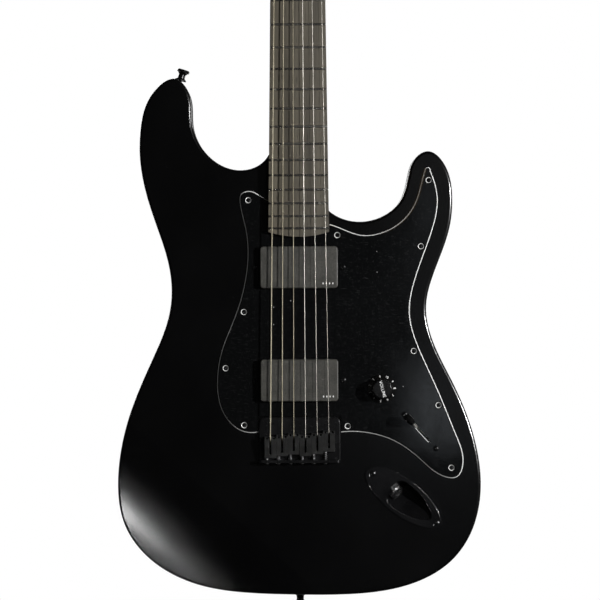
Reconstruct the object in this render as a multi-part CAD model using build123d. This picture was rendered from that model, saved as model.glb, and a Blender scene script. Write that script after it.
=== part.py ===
from build123d import *
import os
from math import asin, atan2, cos, degrees, radians, sin, sqrt

# Solid-body electric guitar, modelled lying flat and stood upright when it is written.
# Lying flat: X to the player's treble side, Y from the tail along the neck, Z out of the front face.
# The origin is the seat of the tail strap button: on the centreline, at mid thickness, at the body's end.

# Scale and neck
SCALE_LENGTH = 647.7
FRET_COUNT = 22
SCALE_END = 146.0
NUT_Y = SCALE_END + SCALE_LENGTH
BOARD_RADIUS = 305.0
BOARD_THICKNESS = 6.0
BOARD_TOP = 9.5
BOARD_END = 320.2
NUT_HALF_WIDTH = 21.5
NECK_TAPER = 0.0119
NUT_LENGTH = 3.3
HEEL_END = 327.0
HEEL_STOP = 400.0

# Body
BODY_THICKNESS = 44.5
FACE = BODY_THICKNESS / 2
BACK = -BODY_THICKNESS / 2
FRONT_EDGE_RADIUS = 2.5
BACK_EDGE_RADIUS = 6.0
POCKET_DEPTH = 15.9
POCKET_CLEARANCE = 0.1
BODY_POINTS = [
    (-27, 393.8), (-36, 384.5), (-50, 380.2), (-68, 384), (-86.2, 400), (-95, 422), (-98, 450),
    (-109.5, 462.2), (-130, 450), (-141, 420), (-141.8, 390), (-130.5, 340), (-116, 293),
    (-115, 258), (-132.1, 210), (-152.5, 160), (-162.9, 105), (-156.5, 60), (-133.4, 30),
    (-92, 8.6), (-45, 1.4), (0, 0), (50, 0.6), (101.7, 10), (135.6, 30), (154.5, 58), (162.1, 96),
    (157.5, 135.5), (137.1, 190), (118.5, 230), (113.8, 256), (121.8, 290), (135.5, 330),
    (137.6, 358), (130.5, 385), (116, 396.5), (104.5, 390.5), (98.5, 376), (92, 354), (75, 338.5),
    (56.2, 333.6), (38, 336.8), (26.5, 344),
]
HEEL_CORNER = (26.3, 393.4)
HEEL_CORNER_RADIUS = 8.0
FOREARM_RADIUS = 300.0
FOREARM_START = (-162.0, 175.0)
FOREARM_FINISH = (23.0, 7.5)
FOREARM_CREST = 0.12
WAIST_CUT_RADIUS = 150.0
WAIST_CUT_DEPTH = 15.0
WAIST_CUT_REACH = 68.0

# Pickguard
PLY = 0.76
GUARD_THICKNESS = 3 * PLY
GUARD_BEVEL = 2.2
GUARD_SPREAD = 1.2
SLOT_LEDGE = 0.45
GUARD_BASS_EDGE = [
    (-28.0, 352.8), (-33.5, 356.1), (-43.5, 360.9), (-50.8, 358.8), (-51.9, 349.3), (-46.8, 325.5),
    (-45.3, 304.5), (-48.4, 278.1), (-56.7, 249.8), (-68.9, 218.5), (-73.1, 190.4), (-69.2, 166.2),
    (-56.1, 149.6), (-38.0, 146.0),
]
GUARD_TREBLE_EDGE = [
    (38.0, 145.9), (64.6, 144.5), (87.4, 136.4), (110.1, 119.2), (128.3, 106.0), (140.3, 105.4),
    (145.7, 116.8), (139.9, 141.9), (125.2, 178.5), (108.3, 216.2), (98.4, 252.0), (102.2, 277.7),
    (112.2, 306.8), (120.4, 330.7), (123.9, 352.9), (121.2, 369.0), (117.6, 378.6),
]
GUARD_TIP = (115.6, 381.6)
GUARD_HORN_EDGE = [
    (113.4, 379.6), (111.1, 371.8), (105.1, 351.3), (93.0, 334.2), (73.3, 323.1), (56.2, 321.2),
    (38.2, 327.2), (28.6, 330.8),
]
GUARD_SCREWS = [
    (-45.0, 353.2), (34.5, 321.7), (116.3, 370.5), (109.2, 311.4), (-49.3, 253.3), (-65.8, 203.1),
    (-49.4, 152.1), (43.1, 150.9), (124.3, 169.3), (135.6, 113.3), (102.4, 217.8),
]
GUARD_SINK_RADIUS = 3.5
GUARD_SINK_DEPTH = 2.0
GUARD_SCREW_HEAD = 2.1
GUARD_SCREW_DEPTH = 1.26
GUARD_NECK_HALF_WIDTH = 27.6
GUARD_BRIDGE_HALF_WIDTH = 37.2
GUARD_BRIDGE_TOP = 160.0

# Pickups
PICKUP_SIZE = (69.4, 37.4)
PICKUP_DEPTH = 19.0
PICKUP_WALL = 1.5
PICKUP_CORNER = 3.0
NECK_PICKUP = (0.0, 293.0)
BRIDGE_PICKUP = (0.0, 192.2)
NECK_PICKUP_TOP = 8.8
BRIDGE_PICKUP_TOP = 10.0
PICKUP_SCREW_X = 39.3
PICKUP_ROUTE = (92.0, 43.0)
PICKUP_ROUTE_DEPTH = 21.0

# Strings, low E first
STRING_SPREAD_BRIDGE = 10.45
STRING_SPREAD_NUT = 7.2
STRING_DIAMETERS = [1.17, 0.91, 0.66, 0.43, 0.33, 0.25]
WOUND_COUNT = 3
STRING_CREST_BRIDGE = 14.2
STRING_CREST_NUT = 11.7
STRING_HOLE_Y = 134.5
STRING_HOLE_RADIUS = 1.6

# Bridge
PLATE_HALF_WIDTH = 36.4
PLATE_FRONT = 159.0
PLATE_REAR = 118.6
PLATE_THICKNESS = 2.4
PLATE_CORNER = 5.5
FLANGE_HEIGHT = 10.0
SADDLE_FRONTS = [142.0, 143.6, 145.1, 143.5, 145.2, 147.4]
SADDLE_WIDTH = 10.3
SADDLE_LENGTH = 19.0
SADDLE_CROWN = 2.2
SADDLE_SLOT = (1.6, 16.0)
SADDLE_SLOT_WIDTH = 1.7
SADDLE_LIFT = 1.2
INTONATION_OFFSET = -3.3
INTONATION_RADIUS = 1.2
INTONATION_HEIGHT = 6.0
GRUB_OFFSET = 3.1
GRUB_SETBACK = 1.6
GRUB_RADIUS = 1.1
BRIDGE_SCREWS = [(-20.9, 129.0), (-10.45, 129.0), (0.0, 129.0), (10.45, 129.0), (20.9, 129.0)]
FERRULE_RADIUS = 4.0
FERRULE_DEPTH = 9.0

# Controls
KNOB_PLACE = (73.7, 184.4)
KNOB_SKIRT_RADIUS = 12.6
KNOB_CAP_RADIUS = 8.6
KNOB_HEIGHT = 15.5
KNOB_GAP = 1.0
SHAFT_RADIUS = 3.0
FIT = 0.05
POT_RADIUS = 12.0
SWITCH_PLACE = (107.9, 145.9)
SWITCH_SCREW_SPACING = 41.3
SWITCH_ANGLE = 132.1
SWITCH_PIVOT_DEPTH = 12.7
LEVER_TILT = 28.0
LEVER_REACH = 33.4
LEVER_THICKNESS = 1.2
LEVER_WIDTH = 5.0
SWITCH_SLOT = (24.0, 2.0)
CAVITY_DEPTH = 38.0

# Jack plate, along its own long axis U from the neck side to the tail side
JACK_PLACE = (93.5, 86.0)
JACK_ANGLE = -37.9
JACK_SCREW_SPACING = 72.2
JACK_PLATE_THICKNESS = 1.3
JACK_PLATE_EDGE = [(-36, 8.8), (-18, 14.8), (0, 16.5), (16, 14.4), (31, 9.4), (38, 4.6)]
JACK_PLATE_ENDS = (-42.0, 41.0)
CUP_EDGE = [(-9, 11.6), (2, 11.9), (12, 10.2), (22, 6.4)]
CUP_LIP = 0.8
CUP_ENDS = (-15.5, 29.0)
CUP_DEEPEST = (-5.0, -13.0)
JACK_RADIUS = 3.2

# Headstock and tuners
HEADSTOCK_TOP = 0.5
HEADSTOCK_THICKNESS = 14.5
FIRST_POST_Y = 828.0
POST_PITCH = 25.4
POST_RADIUS = 3.0
POST_HEIGHT = 17.0
POST_WAIST = 2.5
WINDING_HEIGHT = 8.0
EDGE_TO_POST = 15.0
TUNER_COUNT = 6
GEAR_RADIUS = 4.6
WORM_RADIUS = 1.9
WORM_OFFSET = 6.7
HOUSING_SIZE = (16.0, 20.0, 9.5)
HOUSING_WALL_GAP = 0.4
BUTTON_REACH = 26.0

# Rear
NECK_PLATE_SIZE = (51.0, 64.0, 2.0)
NECK_PLATE_Y = 360.0
NECK_SCREW_SPACING = (38.0, 51.0)
BATTERY_SIZE = (48.5, 26.5, 17.0)
BATTERY_PLACE = (-76.0, 107.0)
BATTERY_ROUTE = (57.0, 30.0, 21.0)
BATTERY_COVER = (92.0, 44.0, 2.0)
HORN_BUTTON = (-106.3, 461.8)
HORN_BUTTON_LEAN = -18.0
STRAP_BUTTON_HEIGHT = 10.5


def string_index_offset(index):
    """How many string spacings a string stands from the centreline."""
    return index - 2.5


def string_x(index, y):
    """Strings fan in a straight line from the bridge to the nut and on past it."""
    share = (y - SCALE_END) / SCALE_LENGTH
    spread = STRING_SPREAD_BRIDGE + (STRING_SPREAD_NUT - STRING_SPREAD_BRIDGE) * share
    return string_index_offset(index) * spread


def fret_y(number):
    """Place of a fret by the twelve-tone rule."""
    return SCALE_END + SCALE_LENGTH * 2 ** (-number / 12)


def half_width(y):
    """Half the width of the neck and fretboard."""
    return NUT_HALF_WIDTH + (NUT_Y - y) * NECK_TAPER


def closed_face(*edges):
    """A flat face inside a closed run of edges."""
    return Face(Wire(list(edges)))


def raised(face, low, height):
    """A straight-sided solid that stands on a flat XY face at height low."""
    return Pos(0, 0, low) * extrude(face, amount=height, dir=(0, 0, 1))


def prism(points, low, high):
    """A straight-sided solid on a polygon in XY, from height low to height high."""
    return raised(closed_face(*Polyline(*points, close=True).edges()), low, high - low)


def block(x, y, low, width, length, height, corner):
    """A rounded-corner block standing on height low."""
    face = RectangleRounded(width, length, corner)
    return Pos(x, y, low) * extrude(face, amount=height)


def drill(x, y, low, high, radius):
    """A plain round hole's volume."""
    rod = Cylinder(radius, high - low, align=(Align.CENTER, Align.CENTER, Align.MIN))
    return Pos(x, y, low) * rod


def rod_between(start, finish, radius):
    """A straight round bar between two points."""
    path = Line(start, finish)
    return sweep(Plane(origin=start, z_dir=path % 0) * Circle(radius), path=path)


def turned(points):
    """A solid turned about Z from (radius, height) points, the first and last on the axis."""
    outline = [(radius, 0, height) for radius, height in points]
    return revolve(closed_face(*Polyline(*outline, close=True).edges()), Axis.Z, 360)


def screw(head, sink, dome, shank, length):
    """Cross-head screw pointing down, the rim of its head at height 0. A sink of 0 makes a pan head."""
    rim_height = 0.0 if sink else dome * 0.4
    shoulder = (head * 0.62, 0, dome * 0.62 + rim_height * 0.38)
    crown = ThreePointArc((0, 0, dome), shoulder, (head, 0, rim_height))
    below = [(head, 0, rim_height), (shank, 0, -sink)]
    below += [(shank, 0, shank - length), (0, 0, -length), (0, 0, dome)]
    if not sink:
        below.insert(1, (head, 0, 0))
    body = revolve(closed_face(crown, *Polyline(*below).edges()), Axis.Z, 360)
    recess = Box(head * 1.2, head * 0.24, head * 0.9)
    cross = recess + Rot(0, 0, 90) * recess
    return body - Pos(0, 0, dome) * cross


def spring(coil_radius, wire_radius, length, turns):
    """A compression spring standing on height 0."""
    rise = length - 2 * wire_radius
    helix = Helix(pitch=rise / turns, height=rise, radius=coil_radius)
    section = Plane(origin=helix @ 0, z_dir=helix % 0) * Circle(wire_radius)
    return Pos(0, 0, wire_radius) * sweep(section, path=helix, is_frenet=True)


def save(name, pieces):
    """Writes one node, stood upright: the neck along +Z and the front facing -Y."""
    solids = [solid for piece in pieces for solid in piece.solids()]
    upright = [Rot(90, 0, 0) * solid for solid in solids]
    export_step(Compound(children=upright), f"parts/{name}.step")


# ---- Body ----


def forearm_cutter():
    """The volume above the gently rounded bevel where the forearm rests."""
    run_x = FOREARM_FINISH[0] - FOREARM_START[0]
    run_y = FOREARM_FINISH[1] - FOREARM_START[1]
    run = sqrt(run_x**2 + run_y**2)
    outward = (run_y / run, -run_x / run, 0)
    plane = Plane(
        origin=(FOREARM_START[0], FOREARM_START[1], FACE),
        x_dir=outward,
        z_dir=(-run_x / run, -run_y / run, 0),
    )
    reach = 150.0
    drop = FOREARM_RADIUS - sqrt(FOREARM_RADIUS**2 - reach**2)
    middle = FOREARM_RADIUS - sqrt(FOREARM_RADIUS**2 - (reach / 2) ** 2)
    arc = ThreePointArc(
        (0, FOREARM_CREST), (reach / 2, FOREARM_CREST - middle), (reach, FOREARM_CREST - drop)
    )
    lid = Polyline((reach, FOREARM_CREST - drop), (reach, 20), (0, 20), (0, FOREARM_CREST))
    profile = plane * closed_face(arc, *lid.edges())
    return extrude(profile, amount=400, both=True)


def waist_cutter():
    """A shallow trough across the back at the bass-side waist."""
    lean = degrees(atan2(WAIST_CUT_DEPTH, WAIST_CUT_REACH))
    roller = Cylinder(WAIST_CUT_RADIUS, 2 * WAIST_CUT_REACH)
    inner_x = -118.0 + WAIST_CUT_REACH
    return Pos(inner_x, 272, BACK) * Rot(0, 90 + lean, 0) * Pos(WAIST_CUT_RADIUS, 0, 0) * roller


def matching_edges(shape, wanted):
    """The edges of a shape that lie where the wanted edges do."""
    places = [edge.center() for edge in wanted]
    return [edge for edge in shape.edges() if any((edge.center() - place).length < 0.01 for place in places)]


def rounded_body():
    """The body blank with its contours and rounded edges, before any routing."""
    start = BODY_POINTS[-1]
    finish = BODY_POINTS[0]
    around = Spline(*BODY_POINTS)
    heel = FilletPolyline(start, HEEL_CORNER, finish, radius=HEEL_CORNER_RADIUS)
    blank = extrude(closed_face(around, *heel.edges()), amount=BODY_THICKNESS / 2, both=True)
    blank -= forearm_cutter()
    walls = [face for face in blank.faces() if abs(face.normal_at().Z) < 0.01]
    front_rims, back_rims = [], []
    for wall in walls:
        for edge in wall.edges():
            if abs(edge.center().Z) > 4 and edge.bounding_box().size.Z < 20:
                (front_rims if edge.center().Z > 0 else back_rims).append(edge)
    blank = fillet(back_rims, BACK_EDGE_RADIUS)
    return fillet(matching_edges(blank, front_rims), FRONT_EDGE_RADIUS) - waist_cutter()


def neck_pocket():
    """The tapered pocket that holds the neck heel, open at the cutaways."""
    near = half_width(HEEL_END) + POCKET_CLEARANCE
    far = half_width(HEEL_STOP) + POCKET_CLEARANCE
    points = [(-near, HEEL_END), (near, HEEL_END), (far, HEEL_STOP), (-far, HEEL_STOP)]
    return prism(points, FACE - POCKET_DEPTH, FACE + 10)


def control_cavity():
    """One deep route under the volume control and the selector, with its wiring channels."""
    low = FACE - CAVITY_DEPTH
    high = FACE + 1
    pot = drill(KNOB_PLACE[0], KNOB_PLACE[1], low, high, POT_RADIUS + 5)
    switch_face = SlotOverall(58, 26)
    switch = Pos(SWITCH_PLACE[0], SWITCH_PLACE[1], low) * Rot(0, 0, SWITCH_ANGLE) * extrude(
        switch_face, amount=high - low
    )
    bridge = prism([(70, 168), (86, 198), (108, 172), (84, 152)], low, high)
    to_pickups = prism([(30, 185), (62, 180), (62, 194), (30, 199)], FACE - 16, high)
    between = prism([(-8, 200), (8, 200), (8, 285), (-8, 285)], FACE - 15, high)
    to_jack = rod_between((98, 138, FACE - 16), (90, 96, FACE - 16), 4)
    return pot + switch + bridge + to_pickups + between + to_jack


def jack_frame(height=0.0):
    """Location of the jack plate's own axes at a height above the face."""
    return Pos(JACK_PLACE[0], JACK_PLACE[1], FACE + height) * Rot(0, 0, JACK_ANGLE)


def jack_route():
    """The route under the jack plate."""
    face = RectangleRounded(62, 28.4, 8) & lens_face(JACK_PLATE_EDGE, JACK_PLATE_ENDS, -1.6)
    return jack_frame(-27) * raised(face, 0, 28)


def battery_route():
    """The compartment in the back, its cover's recess, and the hole to the pickup route."""
    x, y = BATTERY_PLACE
    box = block(x, y, BACK - 1, BATTERY_ROUTE[0], BATTERY_ROUTE[1], BATTERY_ROUTE[2] + 1, 4)
    width = BATTERY_COVER[0] + 0.4
    length = BATTERY_COVER[1] + 0.4
    recess = block(x, y, BACK - 1, width, length, BATTERY_COVER[2] + 1, 6.2)
    wire_hole = rod_between((x + 18, y, BACK + 12), (-32, 180, FACE - 17), 3)
    return box + recess + wire_hole


def neck_screw_places():
    """Centres of the four neck bolts."""
    half_x = NECK_SCREW_SPACING[0] / 2
    half_y = NECK_SCREW_SPACING[1] / 2
    return [(sx * half_x, NECK_PLATE_Y + sy * half_y) for sx in (-1, 1) for sy in (-1, 1)]


def cover_screw_places():
    """Centres of the two battery cover screws."""
    return [(BATTERY_PLACE[0] + side * 38.5, BATTERY_PLACE[1]) for side in (-1, 1)]


def jack_screw_places():
    """Centres of the two jack plate screws."""
    half = JACK_SCREW_SPACING / 2
    turn = radians(JACK_ANGLE)
    return [(JACK_PLACE[0] + s * half * cos(turn), JACK_PLACE[1] + s * half * sin(turn)) for s in (-1, 1)]


def make_body():
    """The solid wooden body with every route and hole."""
    body = rounded_body()
    body -= neck_pocket()
    body -= control_cavity()
    body -= jack_route()
    body -= battery_route()
    for x, y in (NECK_PICKUP, BRIDGE_PICKUP):
        route_low = FACE - PICKUP_ROUTE_DEPTH
        body -= block(x, y, route_low, PICKUP_ROUTE[0], PICKUP_ROUTE[1], PICKUP_ROUTE_DEPTH + 1, 6)
    for x, y in GUARD_SCREWS:
        body -= drill(x, y, FACE - 12, FACE + 1, 1.35)
    for x, y in jack_screw_places():
        body -= drill(x, y, FACE - 13, FACE + 1, 1.35)
    for x, y in cover_screw_places():
        body -= drill(x, y, BACK - 1, BACK + 14, 1.35)
    for x, y in BRIDGE_SCREWS:
        body -= drill(x, y, FACE - 24, FACE + 1, 1.75)
    for x, y in neck_screw_places():
        body -= drill(x, y, BACK - 1, FACE, 2.3)
    for index in range(TUNER_COUNT):
        x = string_x(index, SCALE_END)
        body -= drill(x, STRING_HOLE_Y, BACK - 1, FACE + 1, STRING_HOLE_RADIUS)
        body -= drill(x, STRING_HOLE_Y, BACK - 1, BACK + FERRULE_DEPTH, FERRULE_RADIUS)
    body -= strap_frame_tail() * drill(0, 0, -28, 1, 1.75)
    body -= strap_frame_horn() * drill(0, 0, -28, 1, 1.75)
    return body


# ---- Pickguard ----


def inset_points(points, distance):
    """Moves a counter-clockwise run of outline points inward, square to the outline."""
    moved = []
    for index, (x, y) in enumerate(points):
        before = points[max(index - 1, 0)]
        after = points[min(index + 1, len(points) - 1)]
        run_x = after[0] - before[0]
        run_y = after[1] - before[1]
        run = sqrt(run_x**2 + run_y**2)
        moved.append((x - run_y / run * distance, y + run_x / run * distance))
    return moved


def guard_face(height):
    """Outline of the guard at a height in its thickness: the bevel narrows it towards the top."""
    inset = GUARD_BEVEL * height / GUARD_THICKNESS - GUARD_SPREAD
    bass = inset_points(GUARD_BASS_EDGE, inset)
    treble = inset_points(GUARD_TREBLE_EDGE, inset)
    horn = inset_points(GUARD_HORN_EDGE, inset)
    bridge = GUARD_BRIDGE_HALF_WIDTH
    notch = [bass[-1], (-bridge, bass[-1][1]), (-bridge, GUARD_BRIDGE_TOP)]
    notch += [(bridge, GUARD_BRIDGE_TOP), (bridge, treble[0][1]), treble[0]]
    neck = GUARD_NECK_HALF_WIDTH
    heel = [horn[-1], (neck, horn[-1][1]), (neck, HEEL_END - 0.4)]
    heel += [(-neck, HEEL_END - 0.4), (-neck, bass[0][1]), bass[0]]
    tip = ThreePointArc(treble[-1], (GUARD_TIP[0], GUARD_TIP[1] - inset), horn[0])
    notch_edges = Polyline(*notch).edges()
    heel_edges = Polyline(*heel).edges()
    face = closed_face(Spline(*bass), *notch_edges, Spline(*treble), tip, Spline(*horn), *heel_edges)
    return Pos(0, 0, FACE + height) * face


def pickguard_holes():
    """Everything that passes through the guard."""
    low = FACE - 1
    high = FACE + GUARD_THICKNESS + 1
    holes = drill(KNOB_PLACE[0], KNOB_PLACE[1], low, high, 4.8)
    slot = extrude(SlotOverall(SWITCH_SLOT[0], SWITCH_SLOT[1]), amount=high - low)
    holes += Pos(SWITCH_PLACE[0], SWITCH_PLACE[1], low) * Rot(0, 0, SWITCH_ANGLE) * slot
    for x, y in (NECK_PICKUP, BRIDGE_PICKUP):
        width = PICKUP_SIZE[0] + 0.8
        length = PICKUP_SIZE[1] + 0.8
        holes += block(x, y, low, width, length, high - low, PICKUP_CORNER + 0.4)
        for side in (-1, 1):
            holes += drill(x + side * PICKUP_SCREW_X, y, low, high, 1.6)
    for x, y in switch_screw_places():
        holes += drill(x, y, low, high, 1.7)
    for x, y in GUARD_SCREWS:
        holes += drill(x, y, low, high, 1.35)
        sink = Cone(1.35, GUARD_SINK_RADIUS, GUARD_SINK_DEPTH, align=(Align.CENTER, Align.CENTER, Align.MAX))
        holes += Pos(x, y, FACE + GUARD_THICKNESS) * sink
    return holes


def make_pickguard():
    """Base, core and top plies of the guard, one bevel cut across all three edges."""
    holes = pickguard_holes()
    plies = []
    for layer in range(3):
        ply = loft([guard_face(layer * PLY), guard_face((layer + 1) * PLY)], ruled=True)
        plies.append(ply - holes)
    ledge = extrude(
        SlotOverall(SWITCH_SLOT[0] + 2 * SLOT_LEDGE, SWITCH_SLOT[1] + 2 * SLOT_LEDGE), amount=5
    )
    plies[2] -= Pos(SWITCH_PLACE[0], SWITCH_PLACE[1], FACE) * Rot(0, 0, SWITCH_ANGLE) * ledge
    return plies


# ---- Neck ----


def neck_section(y, depth, fullness):
    """Cross-section of the neck wood, flat on top, at a place along the neck."""
    width = half_width(y)
    top = FACE + BOARD_TOP - BOARD_THICKNESS
    curve = Spline(
        (width, y, top),
        (width * fullness, y, top - depth * 0.62),
        (0, y, top - depth),
        (-width * fullness, y, top - depth * 0.62),
        (-width, y, top),
        tangents=((0, 0, -1), (0, 0, 1)),
    )
    return closed_face(curve, Line((-width, y, top), (width, y, top)))


def headstock_edge_point(index_along, outward):
    """A point near the row of posts: along the row in mm from the first post, and outward from it."""
    along, out = post_directions()
    first = post_place(0)
    return (
        first[0] + along[0] * index_along + out[0] * outward,
        first[1] + along[1] * index_along + out[1] * outward,
    )


def headstock_blank():
    """The flat head with all six tuners on the bass side."""
    lower_left = headstock_edge_point(-10, EDGE_TO_POST)
    upper_left = headstock_edge_point(5 * POST_PITCH + 14, EDGE_TO_POST)
    start = (-half_width(NUT_Y), NUT_Y + 2)
    finish = (half_width(NUT_Y), NUT_Y + 2)
    left_sweep = Spline(start, (-24.5, 803), (-33, 812.5), lower_left)
    left_side = Line(lower_left, upper_left)
    crown_points = [(8, 977), (18, 983), (28, 980), (34.5, 968), (36, 950), (33.5, 915)]
    crown_points += [(32.5, 880), (32, 850), (29, 822), (23.5, 805)]
    crown = Spline(upper_left, *crown_points, finish)
    face = closed_face(left_sweep, left_side, crown, Line(finish, start))
    head = raised(face, FACE + HEADSTOCK_TOP - HEADSTOCK_THICKNESS, HEADSTOCK_THICKNESS)
    level_edges = [edge for edge in head.edges() if edge.bounding_box().size.Z < 0.1]
    rims = [edge for edge in level_edges if edge.center().Y > NUT_Y + 5]
    return fillet(rims, 1.5)


def make_neck():
    """Maple neck: square heel, rounded shaft, flat dropped headstock."""
    top = FACE + BOARD_TOP - BOARD_THICKNESS
    near = half_width(HEEL_END)
    far = half_width(HEEL_STOP)
    heel = prism(
        [(-near, HEEL_END), (near, HEEL_END), (far, HEEL_STOP), (-far, HEEL_STOP)], FACE - POCKET_DEPTH, top
    )
    heel_foot = heel.edges().filter_by(Axis.X).sort_by(Axis.Y)[-2:].sort_by(Axis.Z)[0]
    heel = fillet(heel_foot, 14)
    sections = [
        neck_section(385, 17.8, 0.86),
        neck_section(470, 17.2, 0.84),
        neck_section(760, 15.0, 0.84),
        neck_section(NUT_Y + 22, 17.6, 0.93),
    ]
    shaft = loft(sections)
    neck = heel + shaft
    face_height = FACE + HEADSTOCK_TOP
    curve = Spline(
        (0, NUT_Y + 5, top), (0, NUT_Y + 13, face_height + 0.5), (0, NUT_Y + 21, face_height),
        tangents=((0, 1, -0.5), (0, 1, 0)),
    )
    above = Polyline(
        (0, NUT_Y + 21, face_height), (0, NUT_Y + 60, face_height), (0, NUT_Y + 60, top + 10),
        (0, NUT_Y + 5, top + 10), (0, NUT_Y + 5, top),
    )
    clearing = extrude(closed_face(curve, *above.edges()), amount=60, both=True)
    neck = neck + headstock_blank() - clearing
    neck -= truss_channel()
    for x, y in neck_screw_places():
        neck -= drill(x, y, FACE - POCKET_DEPTH - 1, FACE - POCKET_DEPTH + 15, 2.12)
    for index in range(TUNER_COUNT):
        x, y = post_place(index)
        neck -= drill(x, y, FACE - 30, FACE + 5, 5.0)
        screw_x, screw_y = tuner_screw_place(index)
        low = FACE + HEADSTOCK_TOP - HEADSTOCK_THICKNESS
        neck -= drill(screw_x, screw_y, low - 1, low + 8.5, 0.95)
    for x, y in tree_places():
        neck -= drill(x, y, FACE - 9, FACE + 2, 1.05)
    return neck


def truss_channel():
    """The slot routed in the neck under the fretboard for the truss rod."""
    top = FACE + BOARD_TOP - BOARD_THICKNESS
    slot = prism([(-3.05, 400), (3.05, 400), (3.05, NUT_Y + 30), (-3.05, NUT_Y + 30)], top - 9, top)
    return slot


def make_truss_rod():
    """Two-way truss rod with its socket nut at the headstock end."""
    top = FACE + BOARD_TOP - BOARD_THICKNESS
    bar = prism([(-3, 401), (3, 401), (3, NUT_Y - 12), (-3, NUT_Y - 12)], top - 8.9, top - 0.1)
    nut = rod_between((0, NUT_Y - 12, top - 5), (0, NUT_Y + 12, top - 5), 2.9)
    socket = rod_between((0, NUT_Y + 4, top - 5), (0, NUT_Y + 13, top - 5), 1.6)
    return bar + nut - socket


def board_blank():
    """The fretboard before its slots: tapered, rounded across, with a curved end."""
    low = FACE + BOARD_TOP - BOARD_THICKNESS
    edge_y = BOARD_END + 4.4
    wide = half_width(edge_y)
    narrow = half_width(NUT_Y)
    end = ThreePointArc((wide, edge_y), (0, BOARD_END), (-wide, edge_y))
    sides = Polyline((-wide, edge_y), (-narrow, NUT_Y), (narrow, NUT_Y), (wide, edge_y))
    slab = raised(closed_face(end, *sides.edges()), low, BOARD_THICKNESS + 1)
    return slab & board_cylinder(BOARD_RADIUS)


def board_cylinder(radius):
    """A long cylinder on the fretboard's axis of curvature."""
    middle = (BOARD_END + NUT_Y) / 2
    axis_height = FACE + BOARD_TOP - BOARD_RADIUS
    return Pos(0, middle, axis_height) * Rot(90, 0, 0) * Cylinder(radius, 700)


def across_board(profile, y):
    """Carries a (along, height) profile across the board on its radius, a little past both edges."""
    axis = Axis((0, 0, FACE + BOARD_TOP - BOARD_RADIUS), (0, 1, 0))
    sweep_angle = 2 * degrees(asin((half_width(y) + 1) / BOARD_RADIUS))
    placed = [(0, y + along, FACE + BOARD_TOP + height) for along, height in profile]
    face = closed_face(*Polyline(*placed, close=True).edges())
    return revolve(face.rotate(axis, -sweep_angle / 2), axis, sweep_angle)


FRET_PROFILE = [
    (-0.25, -1.6), (-0.25, 0), (-1.2, 0), (-1.0, 0.55), (-0.55, 0.95), (0, 1.1),
    (0.55, 0.95), (1.0, 0.55), (1.2, 0), (0.25, 0), (0.25, -1.6),
]
FRET_SLOT = [(-0.26, -1.65), (-0.26, 2), (0.26, 2), (0.26, -1.65)]


def make_fret(number):
    """One fret with its tang, its ends dressed at a slope."""
    y = fret_y(number)
    edge = half_width(y) - 0.1
    low = FACE + BOARD_TOP - 4
    high = FACE + BOARD_TOP + 2
    points = [(-edge, low), (edge, low), (edge, high - 3.2)]
    points += [(edge - 2, high), (2 - edge, high), (-edge, high - 3.2)]
    outline = [(x, y - 3, z) for x, z in points]
    frame = extrude(closed_face(*Polyline(*outline, close=True).edges()), amount=6, dir=(0, 1, 0))
    return across_board(FRET_PROFILE, y) & frame


def side_dot_places():
    """Distances along the neck of the player's side markers."""
    places = [(fret_y(number) + fret_y(number - 1)) / 2 for number in (3, 5, 7, 9, 15, 17, 19, 21)]
    twelfth = (fret_y(12) + fret_y(11)) / 2
    return places + [twelfth - 5, twelfth + 5]


def side_dot(y, radius, depth):
    """A round marker let into the bass side of the board."""
    height = FACE + BOARD_TOP - BOARD_THICKNESS + 2.4
    edge = half_width(y)
    return rod_between((-edge - (0.5 if depth > 0.9 else 0), y, height), (-edge + depth, y, height), radius)


def make_fretboard():
    """Ebony board with fret slots and side-dot holes."""
    board = board_blank()
    for number in range(1, FRET_COUNT + 1):
        board -= across_board(FRET_SLOT, fret_y(number))
    for y in side_dot_places():
        board -= side_dot(y, 1.0, 0.95)
    return board


def make_nut():
    """Slotted nut on the end of the fretboard."""
    top = FACE + BOARD_TOP - BOARD_THICKNESS
    width = NUT_HALF_WIDTH - 0.2
    nut = block(0, NUT_Y + NUT_LENGTH / 2 + 0.01, top, 2 * width, NUT_LENGTH, 9.6, 0.4)
    nut = nut & board_cylinder(BOARD_RADIUS + STRING_CREST_NUT - BOARD_TOP + 0.35).moved(Pos(0, 200, 0))
    for index in range(TUNER_COUNT):
        radius = STRING_DIAMETERS[index] / 2 + 0.04
        x = string_x(index, NUT_Y)
        height = string_height(index, NUT_Y)
        slot = Pos(x, NUT_Y, height) * Box(2 * radius, 12, 3, align=(Align.CENTER, Align.CENTER, Align.MIN))
        nut -= slot + rod_between((x, NUT_Y - 3, height), (x, NUT_Y + 8, height), radius)
    return nut


# ---- Strings and bridge ----


def string_height(index, y):
    """Height of a string's axis over the base, arched like the fretboard."""
    share = (y - SCALE_END) / SCALE_LENGTH
    crest = STRING_CREST_BRIDGE + (STRING_CREST_NUT - STRING_CREST_BRIDGE) * share
    return FACE + crest - string_x(index, y) ** 2 / (2 * BOARD_RADIUS)


def break_y(index):
    """Where a string leaves its saddle."""
    return SADDLE_FRONTS[index] - SADDLE_CROWN


def winding_height(index):
    """Height at which a string reaches its tuner post."""
    return FACE + HEADSTOCK_TOP + WINDING_HEIGHT


def string_tip(index):
    """Where a string's straight run ends, just short of its turns on the post."""
    x, y = post_place(index)
    gap = POST_WAIST + STRING_DIAMETERS[index] / 2 + 0.12
    return (x + gap, y - 1.0, winding_height(index))


def tree_places():
    """Centres of the two string trees, each between a pair of strings."""
    return [(string_x(2.5, 846), 846.0), (string_x(4.5, 872), 872.0)]


def tree_height():
    """Height of the string axes under the trees."""
    return FACE + HEADSTOCK_TOP + 6.0


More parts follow.
